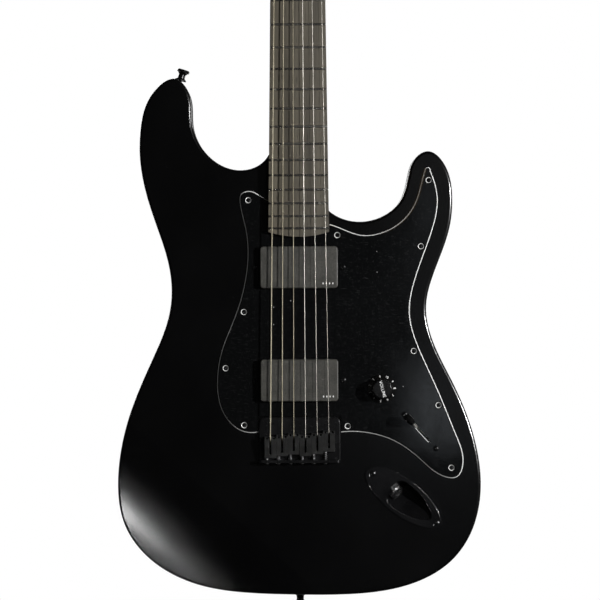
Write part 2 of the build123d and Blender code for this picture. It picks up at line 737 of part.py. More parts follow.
def string_route(index):
    """Points of one string from its ball end in the back to its tuner."""
    x = string_x(index, SCALE_END)
    y = break_y(index)
    points = [
        (x, STRING_HOLE_Y, BACK + 5.5),
        (x, STRING_HOLE_Y, FACE + 4.0),
        (x, y, string_height(index, y)),
        (string_x(index, NUT_Y), NUT_Y + NUT_LENGTH + 1.0, string_height(index, NUT_Y)),
    ]
    if index >= 2:
        tree_y = tree_places()[0][1] if index < 4 else tree_places()[1][1]
        points.append((string_x(index, tree_y), tree_y, tree_height()))
    points.append(string_tip(index))
    return points


def make_string(index):
    """One taut string with its ball end."""
    radius = STRING_DIAMETERS[index] / 2
    points = string_route(index)
    bends = [1.2, 1.0] + [20.0] * (len(points) - 4)
    path = FilletPolyline(*points, radius=bends)
    section = Plane(origin=points[0], z_dir=(0, 0, 1)) * Circle(radius)
    wire = sweep(section, path=path)
    ball_axis = (points[0][0], points[0][1], points[0][2] - 0.6)
    ball = Pos(*ball_axis) * Rot(0, 90, 0) * Cylinder(1.9, 3.6)
    return wire + ball


def make_bridge_plate():
    """Base plate with rounded front corners and an upturned rear flange."""
    length = PLATE_FRONT - PLATE_REAR
    middle = (PLATE_FRONT + PLATE_REAR) / 2
    base = Pos(0, middle, FACE) * Box(
        2 * PLATE_HALF_WIDTH, length, PLATE_THICKNESS, align=(Align.CENTER, Align.CENTER, Align.MIN)
    )
    front_corners = base.edges().filter_by(Axis.Z).sort_by(Axis.Y)[-2:]
    base = fillet(front_corners, PLATE_CORNER)
    flange = Pos(0, PLATE_REAR, FACE) * Box(
        2 * PLATE_HALF_WIDTH, PLATE_THICKNESS, FLANGE_HEIGHT, align=(Align.CENTER, Align.MIN, Align.MIN)
    )
    flange_corners = flange.edges().filter_by(Axis.Y).sort_by(Axis.Z)[-2:]
    plate = base + fillet(flange_corners, 3)
    rear = [edge for edge in plate.edges().filter_by(Axis.X) if edge.center().Y < PLATE_REAR + 0.01]
    rear_low = [edge for edge in rear if edge.center().Z < FACE + 1]
    plate = fillet(rear_low, 1.0)
    top_rim = [
        edge
        for edge in plate.edges()
        if abs(edge.center().Z - FACE - PLATE_THICKNESS) < 0.01 and edge.center().Y > PLATE_REAR + 4
    ]
    plate = fillet(top_rim, 0.7)
    for index in range(TUNER_COUNT):
        x = string_x(index, SCALE_END)
        plate -= drill(x, STRING_HOLE_Y, FACE - 1, FACE + 5, STRING_HOLE_RADIUS)
        plate -= intonation_rod(index, 0, INTONATION_RADIUS + FIT)
    for x, y in BRIDGE_SCREWS:
        plate -= drill(x, y, FACE - 1, FACE + 5, 1.75)
        sink = Cone(1.75, 3.6, 1.6, align=(Align.CENTER, Align.CENTER, Align.MAX))
        plate -= Pos(x, y, FACE + PLATE_THICKNESS) * sink
    return plate


def intonation_rod(index, depth, radius):
    """The space of an intonation screw's shank, to a depth into its saddle."""
    x = string_x(index, SCALE_END) + INTONATION_OFFSET
    height = FACE + INTONATION_HEIGHT
    rear = SADDLE_FRONTS[index] - SADDLE_LENGTH
    return rod_between((x, PLATE_REAR - 1, height), (x, rear + depth, height), radius)


def make_saddle(index):
    """Block saddle with a crowned front, a string slot and three tapped holes."""
    front = SADDLE_FRONTS[index]
    x = string_x(index, SCALE_END)
    contact = string_height(index, break_y(index)) - STRING_DIAMETERS[index] / 2 - 0.06
    low = FACE + PLATE_THICKNESS + SADDLE_LIFT
    rear = front - SADDLE_LENGTH
    crown = ThreePointArc(
        (x, front, contact - 2.0), (x, front - 0.75, contact - 0.45), (x, break_y(index), contact)
    )
    rest = Polyline(
        (x, break_y(index), contact), (x, front - 6.5, contact - 1.0), (x, rear, FACE + 9.0),
        (x, rear, low), (x, front, low), (x, front, contact - 2.0),
    )
    side = closed_face(crown, *rest.edges())
    saddle = extrude(side, amount=SADDLE_WIDTH / 2, both=True, dir=(1, 0, 0))
    slot_middle = front - (SADDLE_SLOT[0] + SADDLE_SLOT[1]) / 2
    saddle -= Pos(x, slot_middle, low + 9) * Box(SADDLE_SLOT_WIDTH, SADDLE_SLOT[1] - SADDLE_SLOT[0], 20)
    groove_radius = STRING_DIAMETERS[index] / 2 + 0.06
    height = string_height(index, break_y(index))
    saddle -= rod_between((x, front - SADDLE_SLOT[0] - 1, height), (x, front + 1, height), groove_radius)
    for side_sign in (-1, 1):
        grub_x = x + side_sign * GRUB_OFFSET
        saddle -= drill(grub_x, front - GRUB_SETBACK, low - 1, low + 20, GRUB_RADIUS + 0.01)
    saddle -= intonation_rod(index, 9.0, INTONATION_RADIUS + 0.01)
    return saddle


def make_grub(index, side):
    """Height screw of a saddle, standing on the plate, with a hexagon socket."""
    x = string_x(index, SCALE_END) + side * GRUB_OFFSET
    y = SADDLE_FRONTS[index] - GRUB_SETBACK
    low = FACE + PLATE_THICKNESS
    high = string_height(index, break_y(index)) - 2.6
    socket = Pos(x, y, high - 1.6) * extrude(RegularPolygon(0.75, 6), amount=3)
    return drill(x, y, low, high, GRUB_RADIUS) - socket


def make_intonation_screw(index):
    """Pan-head screw through the flange into the saddle's rear."""
    x = string_x(index, SCALE_END) + INTONATION_OFFSET
    length = SADDLE_FRONTS[index] - SADDLE_LENGTH + 8.5 - PLATE_REAR
    blank = screw(2.3, 0, 1.7, INTONATION_RADIUS, length)
    return Pos(x, PLATE_REAR, FACE + INTONATION_HEIGHT) * Rot(90, 0, 0) * blank


def make_intonation_spring(index):
    """Spring between the flange and the saddle's rear."""
    x = string_x(index, SCALE_END) + INTONATION_OFFSET
    start = PLATE_REAR + PLATE_THICKNESS
    length = SADDLE_FRONTS[index] - SADDLE_LENGTH - start
    coil = spring(1.75, 0.22, length, 4)
    return Pos(x, start + length, FACE + INTONATION_HEIGHT) * Rot(90, 0, 0) * coil


def make_ferrule(index):
    """Rear cup that holds a string's ball end."""
    x = string_x(index, SCALE_END)
    low = BACK - 0.6
    outer = drill(x, STRING_HOLE_Y, BACK, BACK + FERRULE_DEPTH, FERRULE_RADIUS - 0.02)
    lip = drill(x, STRING_HOLE_Y, low, BACK, FERRULE_RADIUS + 0.7)
    well = drill(x, STRING_HOLE_Y, low - 1, BACK + 7.2, 2.7)
    way = drill(x, STRING_HOLE_Y, BACK, BACK + 12, 1.3)
    return outer + lip - well - way


# ---- Pickups ----


def pickups():
    """Centre and top height of each pickup."""
    return [(NECK_PICKUP, NECK_PICKUP_TOP), (BRIDGE_PICKUP, BRIDGE_PICKUP_TOP)]


def make_pickup_cover(place, top):
    """Moulded cover, open beneath."""
    low = FACE + top - PICKUP_DEPTH
    shell = block(place[0], place[1], low, PICKUP_SIZE[0], PICKUP_SIZE[1], PICKUP_DEPTH, PICKUP_CORNER)
    shell = fillet(shell.faces().sort_by(Axis.Z)[-1].edges(), 1.0)
    inside = block(
        place[0], place[1], low - 1, PICKUP_SIZE[0] - 2 * PICKUP_WALL, PICKUP_SIZE[1] - 2 * PICKUP_WALL,
        PICKUP_DEPTH + 1 - PICKUP_WALL, PICKUP_CORNER - PICKUP_WALL,
    )
    return shell - inside


def make_pickup_coils(place, top):
    """Two coil bobbins side by side with a bar magnet between them."""
    low = FACE + top - PICKUP_DEPTH + 0.05
    pieces = []
    for side in (-1, 1):
        bobbin = extrude(SlotOverall(64, 15.5), amount=13)
        pieces.append(Pos(place[0], place[1] + side * 8.2, low + 3) * bobbin)
    magnet = Box(60, 12, 2.9, align=(Align.CENTER, Align.CENTER, Align.MIN))
    pieces.append(Pos(place[0], place[1], low) * magnet)
    return pieces


def make_pickup_baseplate(place, top):
    """Bottom plate whose ears carry the height screws."""
    low = FACE + top - PICKUP_DEPTH - 1.2
    plate = block(place[0], place[1], low, PICKUP_SIZE[0], PICKUP_SIZE[1], 1.2, PICKUP_CORNER)
    ears = block(place[0], place[1], low, 2 * PICKUP_SCREW_X + 8, 9, 1.2, 2)
    plate += ears
    for side in (-1, 1):
        plate -= drill(place[0] + side * PICKUP_SCREW_X, place[1], low - 1, low + 3, 1.41)
    return plate


def pickup_screw_frames():
    """Place and ear height of each of the four pickup height screws."""
    return [
        (place[0] + side * PICKUP_SCREW_X, place[1], FACE + top - PICKUP_DEPTH)
        for place, top in pickups()
        for side in (-1, 1)
    ]


def make_pickup_screw(x, y, ear):
    """Long screw hanging a pickup from the guard."""
    head_seat = FACE + GUARD_THICKNESS
    return Pos(x, y, head_seat) * screw(2.6, 0, 1.5, 1.4, head_seat - ear + 5)


def make_pickup_spring(x, y, ear):
    """Spring between the guard and a pickup's ear."""
    return Pos(x, y, ear) * spring(2.4, 0.25, FACE - ear, 6)


# ---- Controls ----


def switch_frame(height):
    """Location of the selector's own axes: X along the slot towards the neck."""
    return Pos(SWITCH_PLACE[0], SWITCH_PLACE[1], height) * Rot(0, 0, SWITCH_ANGLE)


def switch_screw_places():
    """Centres of the selector's two screws."""
    half = SWITCH_SCREW_SPACING / 2
    turn = radians(SWITCH_ANGLE)
    return [(SWITCH_PLACE[0] + s * half * cos(turn), SWITCH_PLACE[1] + s * half * sin(turn)) for s in (-1, 1)]


def make_pot():
    """Volume control's fixed housing and threaded bushing."""
    x, y = KNOB_PLACE
    can = drill(x, y, FACE - 14, FACE - 2, POT_RADIUS)
    can = fillet(can.edges().filter_by(GeomType.CIRCLE), 1.0)
    bushing = drill(x, y, FACE - 2, FACE + GUARD_THICKNESS + 3.4, 4.7)
    lugs = Pos(x, y - POT_RADIUS, FACE - 9) * Box(12, 6, 1)
    return can + bushing + lugs - drill(x, y, FACE - 11, FACE + 10, SHAFT_RADIUS + FIT)


def make_shaft():
    """Volume control's turning shaft."""
    x, y = KNOB_PLACE
    return drill(x, y, FACE - 10.9, FACE + GUARD_THICKNESS + KNOB_GAP + KNOB_HEIGHT - 3.5, SHAFT_RADIUS)


def make_knob():
    """Skirted knob with a grooved grip, hollow beneath."""
    x, y = KNOB_PLACE
    base = FACE + GUARD_THICKNESS + KNOB_GAP
    profile = [
        (0, 0), (KNOB_SKIRT_RADIUS, 0), (KNOB_SKIRT_RADIUS, 0.9), (KNOB_CAP_RADIUS + 1.6, 3.4),
        (KNOB_CAP_RADIUS + 0.5, 4.6), (KNOB_CAP_RADIUS, KNOB_HEIGHT - 0.8),
        (KNOB_CAP_RADIUS - 0.8, KNOB_HEIGHT), (0, KNOB_HEIGHT),
    ]
    knob = turned(profile)
    flutes = []
    for step in range(24):
        flute = Pos(KNOB_CAP_RADIUS + 0.45, 0, 5.4) * drill(0, 0, 0, KNOB_HEIGHT, 0.75)
        flutes.append(Rot(0, 0, step * 360 / 24) * flute)
    knob -= flutes
    hollow = turned([(0, -1), (7.6, -1), (7.6, 8.5), (0, 8.5)])
    knob -= hollow
    boss = drill(0, 0, 5.2, 9.5, 5.2)
    knob += boss
    knob -= drill(0, 0, -1, KNOB_HEIGHT - 3.45, SHAFT_RADIUS)
    return Pos(x, y, base) * knob


def hex_nut(across, height, bore):
    """A plain hexagon nut standing on height 0."""
    hexagon = extrude(RegularPolygon(across / 2, 6, major_radius=False), amount=height)
    return hexagon - drill(0, 0, -1, height + 1, bore)


def make_switch():
    """Selector frame: mounting bracket, two side plates, wafer and pivot pin."""
    bracket = extrude(RectangleRounded(50, 13, 3), amount=1.2)
    slot = Pos(0, 0, -1) * extrude(SlotOverall(SWITCH_SLOT[0] + 2, 5), amount=4)
    switch = Pos(0, 0, -1.2) * (bracket - slot)
    for side in (-1, 1):
        switch -= drill(side * SWITCH_SCREW_SPACING / 2, 0, -3, 1, 1.31)
        switch += Pos(0, side * 5.2, -16.5) * Box(34, 1.4, 31)
    switch += Pos(0, 0, -29) * Box(34, 11.8, 6)
    switch += Pos(0, 0, -SWITCH_PIVOT_DEPTH) * Rot(90, 0, 0) * Cylinder(1.5, 10.4)
    return switch_frame(FACE) * switch


def make_lever():
    """Selector lever with its hub on the pivot, tilted to the neck end."""
    length = LEVER_REACH - 1
    blade = Pos(0, 0, length / 2) * Box(LEVER_WIDTH, LEVER_THICKNESS, length)
    hub = Rot(90, 0, 0) * Cylinder(5.0, 7.4)
    lever = blade + hub - Rot(90, 0, 0) * Cylinder(1.5 + FIT, 12)
    return switch_frame(FACE - SWITCH_PIVOT_DEPTH) * Rot(0, LEVER_TILT, 0) * lever


def make_lever_tip():
    """Moulded tip pushed on the end of the lever."""
    profile = [(0, -5.4), (3.2, -5.4), (4.1, -4.4), (4.3, 1.5), (3.4, 4.2), (0, 5.2)]
    tip = scale(turned(profile), by=(1.15, 0.8, 1))
    tip -= Pos(0, 0, -1 - 5) * Box(LEVER_WIDTH + 0.02, LEVER_THICKNESS + 0.02, 10)
    return switch_frame(FACE - SWITCH_PIVOT_DEPTH) * Rot(0, LEVER_TILT, 0) * Pos(0, 0, LEVER_REACH) * tip


# ---- Jack plate ----


def lens_face(edge, ends, grow):
    """A pointed-oval face symmetric about its long axis, grown sideways by a margin."""
    upper = [(u, v + grow) for u, v in edge]
    lower = [(u, -v - grow) for u, v in reversed(edge)]
    left = (ends[0] - grow, 0)
    right = (ends[1] + grow, 0)
    return closed_face(Spline(left, *upper, right, *lower, periodic=True))


def cup_volume(grow):
    """The hollow of the recessed cup, grown by a wall thickness."""
    plan = lens_face(CUP_EDGE, CUP_ENDS, grow)
    well = raised(plan, -22, 22 + JACK_PLATE_THICKNESS + 1)
    rise = JACK_PLATE_THICKNESS
    side_points = [
        (CUP_ENDS[0] - grow, 0, rise + 1), (CUP_ENDS[0] - grow, 0, 0),
        (CUP_DEEPEST[0] - grow * 0.4, 0, CUP_DEEPEST[1] - grow),
        (CUP_DEEPEST[0] + 9, 0, CUP_DEEPEST[1] - grow + 1.2),
        (CUP_ENDS[1] + grow, 0, 0), (CUP_ENDS[1] + grow, 0, rise + 1),
    ]
    side = extrude(closed_face(*Polyline(*side_points, close=True).edges()), amount=25, both=True)
    return well & side


def socket_frame():
    """Location of the jack's axis: its Z points out of the cup through the slanted wall."""
    run = CUP_DEEPEST[0] - CUP_ENDS[0]
    lean = degrees(atan2(-CUP_DEEPEST[1], run))
    return jack_frame() * Pos((CUP_ENDS[0] + CUP_DEEPEST[0]) / 2, 0, CUP_DEEPEST[1] / 2) * Rot(0, lean, 0)


def make_jack_plate():
    """Boat-shaped plate with a recessed cup for the slanted socket."""
    flange = raised(lens_face(JACK_PLATE_EDGE, JACK_PLATE_ENDS, 0), 0, JACK_PLATE_THICKNESS)
    flange = fillet(flange.faces().sort_by(Axis.Z)[-1].edges(), 0.6)
    cup = cup_volume(1.2) & (Pos(0, 0, -25) * Box(200, 100, 50 + JACK_PLATE_THICKNESS))
    plate = flange + cup - cup_volume(0)
    mouth = plate.faces().sort_by(Axis.Z)[-1].inner_wires()
    plate = fillet([edge for wire in mouth for edge in wire.edges()], CUP_LIP)
    plate = jack_frame() * plate
    plate -= socket_frame() * drill(0, 0, -5, 5, 4.76)
    for x, y in jack_screw_places():
        plate -= drill(x, y, FACE - 1, FACE + 3, 1.5)
        sink = Cone(1.5, 2.8, 1.1, align=(Align.CENTER, Align.CENTER, Align.MAX))
        plate -= Pos(x, y, FACE + JACK_PLATE_THICKNESS) * sink
    return plate


def make_jack_socket():
    """Quarter-inch jack socket: threaded sleeve through the plate, barrel behind it."""
    wall = 1.25
    sleeve = drill(0, 0, -wall, 4.2, 4.72)
    barrel = drill(0, 0, -17, -wall, 5.8)
    return socket_frame() * (sleeve + barrel - drill(0, 0, -15.5, 6, JACK_RADIUS))


# ---- Headstock hardware ----


def post_place(index):
    """Centre of a tuner post, beside its string."""
    y = FIRST_POST_Y + index * POST_PITCH * 0.967
    return (string_x(index, y) - POST_RADIUS, y)


def post_directions():
    """Unit vectors along the row of posts and outward over the bass edge."""
    first = post_place(0)
    last = post_place(TUNER_COUNT - 1)
    run_x = last[0] - first[0]
    run_y = last[1] - first[1]
    run = sqrt(run_x**2 + run_y**2)
    return (run_x / run, run_y / run), (-run_y / run, run_x / run)


def tuner_frame(index, height):
    """Location of a tuner: X outward over the edge, Y down the row, Z out of the front."""
    out = post_directions()[1]
    x, y = post_place(index)
    return Pos(x, y, height) * Rot(0, 0, degrees(atan2(out[1], out[0])))


def tuner_screw_place(index):
    """Centre of a tuner's fixing screw, at the inner end of its housing."""
    spot = tuner_frame(index, 0) * Pos(-10.0, 0, 0)
    return (spot.position.X, spot.position.Y)


def housing_middle():
    """Height of the tuner gear's middle plane."""
    return FACE + HEADSTOCK_TOP - HEADSTOCK_THICKNESS - HOUSING_SIZE[2] / 2


def make_tuner_housing(index):
    """Cast gear case with its inner ear and worm bore."""
    size_x, size_y, size_z = HOUSING_SIZE
    case = Pos(0, -3.2, 0) * Box(size_x, size_y, size_z)
    case = fillet(case.edges().filter_by(Axis.Z), 3)
    case = fillet(case.faces().sort_by(Axis.Z)[0].edges(), 1.6)
    ear = Pos(-8, 0, size_z / 2 - 1.2) * extrude(SlotOverall(14, 6.4), amount=1.2)
    case += ear
    case -= Pos(0, 0, 0) * Cylinder(GEAR_RADIUS + HOUSING_WALL_GAP, 5.0)
    case -= Cylinder(POST_RADIUS + FIT, 20, align=(Align.CENTER, Align.CENTER, Align.MIN))
    worm = Rot(0, 90, 0) * Cylinder(WORM_RADIUS + HOUSING_WALL_GAP, 11.0)
    case -= Pos(0, -WORM_OFFSET, 0) * worm
    out_bore = Rot(0, 90, 0) * Cylinder(1.5 + FIT, 20, align=(Align.CENTER, Align.CENTER, Align.MIN))
    case -= Pos(0, -WORM_OFFSET, 0) * out_bore
    case -= Pos(-10.0, 0, 0) * Cylinder(1.0, 30)
    return tuner_frame(index, housing_middle()) * case


def make_tuner_post(index):
    """String post with its worm wheel."""
    top = FACE + HEADSTOCK_TOP + POST_HEIGHT
    mid = housing_middle()
    waist_low = winding_height(index) - 3 - mid
    waist_high = winding_height(index) + 3 - mid
    profile = [
        (0, -2.2), (GEAR_RADIUS - 0.45, -2.2), (GEAR_RADIUS - 0.45, 2.2), (POST_RADIUS, 2.2),
        (POST_RADIUS, waist_low), (POST_WAIST, waist_low + 0.8), (POST_WAIST, waist_high - 0.8),
        (POST_RADIUS, waist_high), (POST_RADIUS, top - mid - 0.6),
        (POST_RADIUS - 0.6, top - mid), (0, top - mid),
    ]
    post = turned(profile)
    for step in range(18):
        tooth = Pos(GEAR_RADIUS - 0.5, 0, 0) * Box(0.9, 0.7, 4.4)
        post += Rot(0, 0, step * 20) * tooth
    post -= Pos(0, 0, waist_high - 1.6) * Rot(90, 0, 0) * Cylinder(0.75, 12)
    return tuner_frame(index, mid) * post


def make_tuner_key(index):
    """Worm shaft with its button."""
    worm = Rot(0, 90, 0) * Cylinder(WORM_RADIUS - 0.35, 10.2)
    for turn in range(6):
        ridge = Rot(0, 90, 0) * Cylinder(WORM_RADIUS, 0.7)
        worm += Pos(-4.5 + turn * 1.8, 0, 0) * ridge
    shaft = Rot(0, 90, 0) * Cylinder(1.5, BUTTON_REACH - 4, align=(Align.CENTER, Align.CENTER, Align.MIN))
    collar = Pos(9.2, 0, 0) * Rot(0, 90, 0) * Cylinder(2.6, 3, align=(Align.CENTER, Align.CENTER, Align.MIN))
    button = Pos(BUTTON_REACH, 0, 0) * Box(13, 15, 6.5)
    button = fillet(button.edges().filter_by(Axis.Z), 4.5)
    button = fillet(button.faces().sort_by(Axis.Z)[-1].edges(), 2)
    button = fillet(button.faces().sort_by(Axis.Z)[0].edges(), 2)
    key = worm + shaft + collar + button
    return tuner_frame(index, housing_middle()) * Pos(0, -WORM_OFFSET, 0) * key


def make_tuner_bushing(index):
    """Threaded bushing and hexagon flange around a post."""
    low = -HEADSTOCK_THICKNESS + 0.05
    sleeve = drill(0, 0, low, 0, 4.95)
    washer = drill(0, 0, 0, 0.9, 6.9)
    cap = Pos(0, 0, 0.9) * hex_nut(10.4, 2.2, 1)
    whole = sleeve + washer + cap - drill(0, 0, low - 1, 10, POST_RADIUS + FIT)
    return tuner_frame(index, FACE + HEADSTOCK_TOP) * whole


def make_tuner_screw(index):
    """Small screw fixing a tuner from the back."""
    x, y = tuner_screw_place(index)
    seat = FACE + HEADSTOCK_TOP - HEADSTOCK_THICKNESS - 1.2
    return Pos(x, y, seat) * Rot(180, 0, 0) * screw(1.7, 0, 1.0, 0.93, 9.5)


def make_string_tree(x, y):
    """Winged clip that holds two strings down."""
    base = FACE + HEADSTOCK_TOP
    bar_low = tree_height() + 0.52
    post = drill(x, y, base, bar_low + 0.4, 1.9)
    bar = Pos(x, y, bar_low + 0.7) * Box(11.4, 5.0, 1.4)
    bar = fillet(bar.edges().filter_by(Axis.X), 0.6)
    return post + bar - drill(x, y, base - 1, base + 20, 1.1)


def make_tree_screw(x, y):
    """Screw through a string tree into the head."""
    seat = tree_height() + 0.52 + 1.4
    return Pos(x, y, seat) * screw(2.0, 0, 1.1, 1.0, seat - FACE + 8)


# ---- Rear, strap and battery hardware ----


def make_neck_plate():
    """Flat steel plate behind the neck joint."""
    width, length, thickness = NECK_PLATE_SIZE
    plate = block(0, NECK_PLATE_Y, BACK - thickness, width, length, thickness, 6)
    plate = fillet(plate.faces().sort_by(Axis.Z)[0].edges(), 0.6)
    for x, y in neck_screw_places():
        plate -= drill(x, y, BACK - 5, BACK + 1, 2.3)
        sink = Cone(4.3, 2.3, 1.6, align=(Align.CENTER, Align.CENTER, Align.MIN))
        plate -= Pos(x, y, BACK - thickness) * sink
    return plate


def make_neck_screw(x, y):
    """Long bolt through the plate and body into the neck heel."""
    return Pos(x, y, BACK - NECK_PLATE_SIZE[2]) * Rot(180, 0, 0) * screw(4.2, 1.5, 0.9, 2.1, 42)


def strap_frame_tail():
    """Location of the tail strap button's axis, pointing off the body."""
    return Rot(90, 0, 0)


def strap_frame_horn():
    """Location of the horn strap button's axis, pointing off the body."""
    return Pos(HORN_BUTTON[0], HORN_BUTTON[1], 0) * Rot(0, 0, HORN_BUTTON_LEAN) * Rot(-90, 0, 0)


def make_strap_button(frame):
    """Turned button with a waist for the strap and a sunk screw."""
    profile = [
        (0, 0.3), (5.2, 0.3), (5.2, 1.3), (3.4, 2.6), (3.2, 6.0), (4.4, 7.6), (5.7, 8.2), (5.8, 9.5),
        (5.0, STRAP_BUTTON_HEIGHT), (0, STRAP_BUTTON_HEIGHT),
    ]
    button = turned(profile) - drill(0, 0, -1, 20, 1.8)
    sink = Cone(1.8, 3.4, 1.8, align=(Align.CENTER, Align.CENTER, Align.MAX))
    return frame * (button - Pos(0, 0, STRAP_BUTTON_HEIGHT) * sink)


def make_strap_screw(frame):
    """Screw holding a strap button."""
    return frame * Pos(0, 0, STRAP_BUTTON_HEIGHT) * screw(3.3, 1.7, 0.3, 1.7, 36)


def make_battery():
    """Nine-volt block battery with its snap terminals."""
    x, y = BATTERY_PLACE
    length, width, height = BATTERY_SIZE
    case = block(x, y, BACK + 2.6, length, width, height, 2)
    case = fillet(case.faces().sort_by(Axis.Z)[-1].edges(), 0.8)
    end_x = x + length / 2
    level = BACK + 2.6 + height / 2
    small = rod_between((end_x, y - 6.3, level), (end_x + 2.6, y - 6.3, level), 2.8)
    large = rod_between((end_x, y + 6.3, level), (end_x + 2.6, y + 6.3, level), 4.0)
    return case + small + large


def make_battery_cover():
    """Screwed plate over the battery."""
    x, y = BATTERY_PLACE
    width, length, thickness = BATTERY_COVER
    cover = block(x, y, BACK, width, length, thickness, 6)
    for screw_x, screw_y in cover_screw_places():
        cover -= drill(screw_x, screw_y, BACK - 1, BACK + 5, 1.5)
        sink = Cone(2.8, 1.5, 1.3, align=(Align.CENTER, Align.CENTER, Align.MIN))
        cover -= Pos(screw_x, screw_y, BACK) * sink
    return cover


def cover_plate_screws():
    """The jack plate's and battery cover's screws."""
    jack_screw = screw(2.7, 1.0, 0.7, 1.3, 13)
    jack_top = FACE + JACK_PLATE_THICKNESS
    front = [Pos(x, y, jack_top) * jack_screw for x, y in jack_screw_places()]
    rear = [Pos(x, y, BACK) * Rot(180, 0, 0) * screw(2.7, 1.2, 0.7, 1.3, 13) for x, y in cover_screw_places()]
    return front + rear


# ---- Writing every node ----


def main():
    os.makedirs("parts", exist_ok=True)
    every = range(TUNER_COUNT)
    save("body", [make_body()])
    base_ply, core_ply, top_ply = make_pickguard()
    save("pickguard_base_ply", [base_ply])
    save("pickguard_core_ply", [core_ply])
    save("pickguard_top_ply", [top_ply])
    guard_top = FACE + GUARD_THICKNESS
    guard_screw = screw(GUARD_SCREW_HEAD, 0.7, 1.1, 1.3, 11)
    head_seat = guard_top - GUARD_SCREW_DEPTH
    save("pickguard_screws", [Pos(x, y, head_seat) * guard_screw for x, y in GUARD_SCREWS])
    save("neck", [make_neck()])
    save("fretboard", [make_fretboard()])
    save("frets", [make_fret(number) for number in range(1, FRET_COUNT + 1)])
    save("side_dots", [side_dot(y, 0.98, 0.9) for y in side_dot_places()])
    save("nut", [make_nut()])
    save("truss_rod", [make_truss_rod()])
    save("neck_plate", [make_neck_plate()])
    save("neck_screws", [make_neck_screw(x, y) for x, y in neck_screw_places()])
    save("string_trees", [make_string_tree(x, y) for x, y in tree_places()])
    save("string_tree_screws", [make_tree_screw(x, y) for x, y in tree_places()])
    save("bridge_plate", [make_bridge_plate()])
    seat = FACE + PLATE_THICKNESS
    save("bridge_screws", [Pos(x, y, seat) * screw(3.5, 1.5, 0.6, 1.7, 24) for x, y in BRIDGE_SCREWS])
    save("saddles", [make_saddle(index) for index in every])
    save("saddle_height_screws", [make_grub(index, side) for index in every for side in (-1, 1)])
    save("intonation_screws", [make_intonation_screw(index) for index in every])
    save("intonation_springs", [make_intonation_spring(index) for index in every])
    save("string_ferrules", [make_ferrule(index) for index in every])
    save("wound_strings", [make_string(index) for index in range(WOUND_COUNT)])
    save("plain_strings", [make_string(index) for index in range(WOUND_COUNT, TUNER_COUNT)])
    save("pickup_covers", [make_pickup_cover(place, top) for place, top in pickups()])
    save("pickup_coils", [piece for place, top in pickups() for piece in make_pickup_coils(place, top)])
    save("pickup_baseplates", [make_pickup_baseplate(place, top) for place, top in pickups()])
    save("pickup_height_screws", [make_pickup_screw(*frame) for frame in pickup_screw_frames()])
    save("pickup_springs", [make_pickup_spring(*frame) for frame in pickup_screw_frames()])
    save("volume_pot", [make_pot()])
    save("volume_shaft", [make_shaft()])
    save("volume_knob", [make_knob()])
    pot_nut = Pos(KNOB_PLACE[0], KNOB_PLACE[1], guard_top) * hex_nut(11, 2.2, 4.72)
    jack_nut = socket_frame() * Pos(0, 0, 0.02) * hex_nut(12.5, 2.4, 4.74)
    save("panel_nuts", [pot_nut, jack_nut])
    save("selector_switch", [make_switch()])
    selector_screw = screw(2.5, 0, 1.4, 1.3, 7)
    save("selector_screws", [Pos(x, y, guard_top) * selector_screw for x, y in switch_screw_places()])
    save("selector_lever", [make_lever()])
    save("selector_tip", [make_lever_tip()])
    save("jack_plate", [make_jack_plate()])
    save("jack_socket", [make_jack_socket()])
    save("cover_plate_screws", cover_plate_screws())
    buttons = [strap_frame_tail(), strap_frame_horn()]
    save("strap_buttons", [make_strap_button(frame) for frame in buttons])
    save("strap_button_screws", [make_strap_screw(frame) for frame in buttons])
    save("battery", [make_battery()])
    save("battery_cover", [make_battery_cover()])
    save("tuner_housings", [make_tuner_housing(index) for index in every])
    save("tuner_bushings", [make_tuner_bushing(index) for index in every])
    save("tuner_screws", [make_tuner_screw(index) for index in every])
    for index in every:
        save(f"tuner_post_{index + 1}", [make_tuner_post(index)])
        save(f"tuner_key_{index + 1}", [make_tuner_key(index)])


main()
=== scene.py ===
import math

import bpy
from mathutils import Matrix, Vector
from mathutils.bvhtree import BVHTree


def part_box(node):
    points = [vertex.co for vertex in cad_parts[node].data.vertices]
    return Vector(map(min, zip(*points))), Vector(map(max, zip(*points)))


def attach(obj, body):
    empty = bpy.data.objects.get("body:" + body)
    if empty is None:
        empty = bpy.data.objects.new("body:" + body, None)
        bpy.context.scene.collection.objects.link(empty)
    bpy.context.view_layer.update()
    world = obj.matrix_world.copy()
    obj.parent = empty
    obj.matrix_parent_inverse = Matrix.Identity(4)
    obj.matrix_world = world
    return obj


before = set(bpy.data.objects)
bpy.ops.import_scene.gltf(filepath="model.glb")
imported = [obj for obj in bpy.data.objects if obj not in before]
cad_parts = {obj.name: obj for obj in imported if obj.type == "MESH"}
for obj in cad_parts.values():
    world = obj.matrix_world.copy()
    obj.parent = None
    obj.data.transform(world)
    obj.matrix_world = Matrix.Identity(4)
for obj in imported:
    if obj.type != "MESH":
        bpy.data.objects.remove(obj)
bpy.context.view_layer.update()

# The view: a long lens, level, square to the guitar's front.
CAMERA_PLACE = (0.00085, -2.62225, 0.2638)
CAMERA_LENS = 174.43
CAMERA_SENSOR = 36.0
CAMERA_ROLL = math.radians(-0.25)

FRONT = Vector((0, -1, 0))
GAUGES = (0.00117, 0.00091, 0.00066, 0.00043, 0.00033, 0.00025)
WOUND_COUNT = 3


# ---------------------------------------------------------------- materials


SOCKETS = {
    "metallic": "Metallic",
    "roughness": "Roughness",
    "specular": "Specular IOR Level",
    "coat": "Coat Weight",
    "coat_roughness": "Coat Roughness",
}


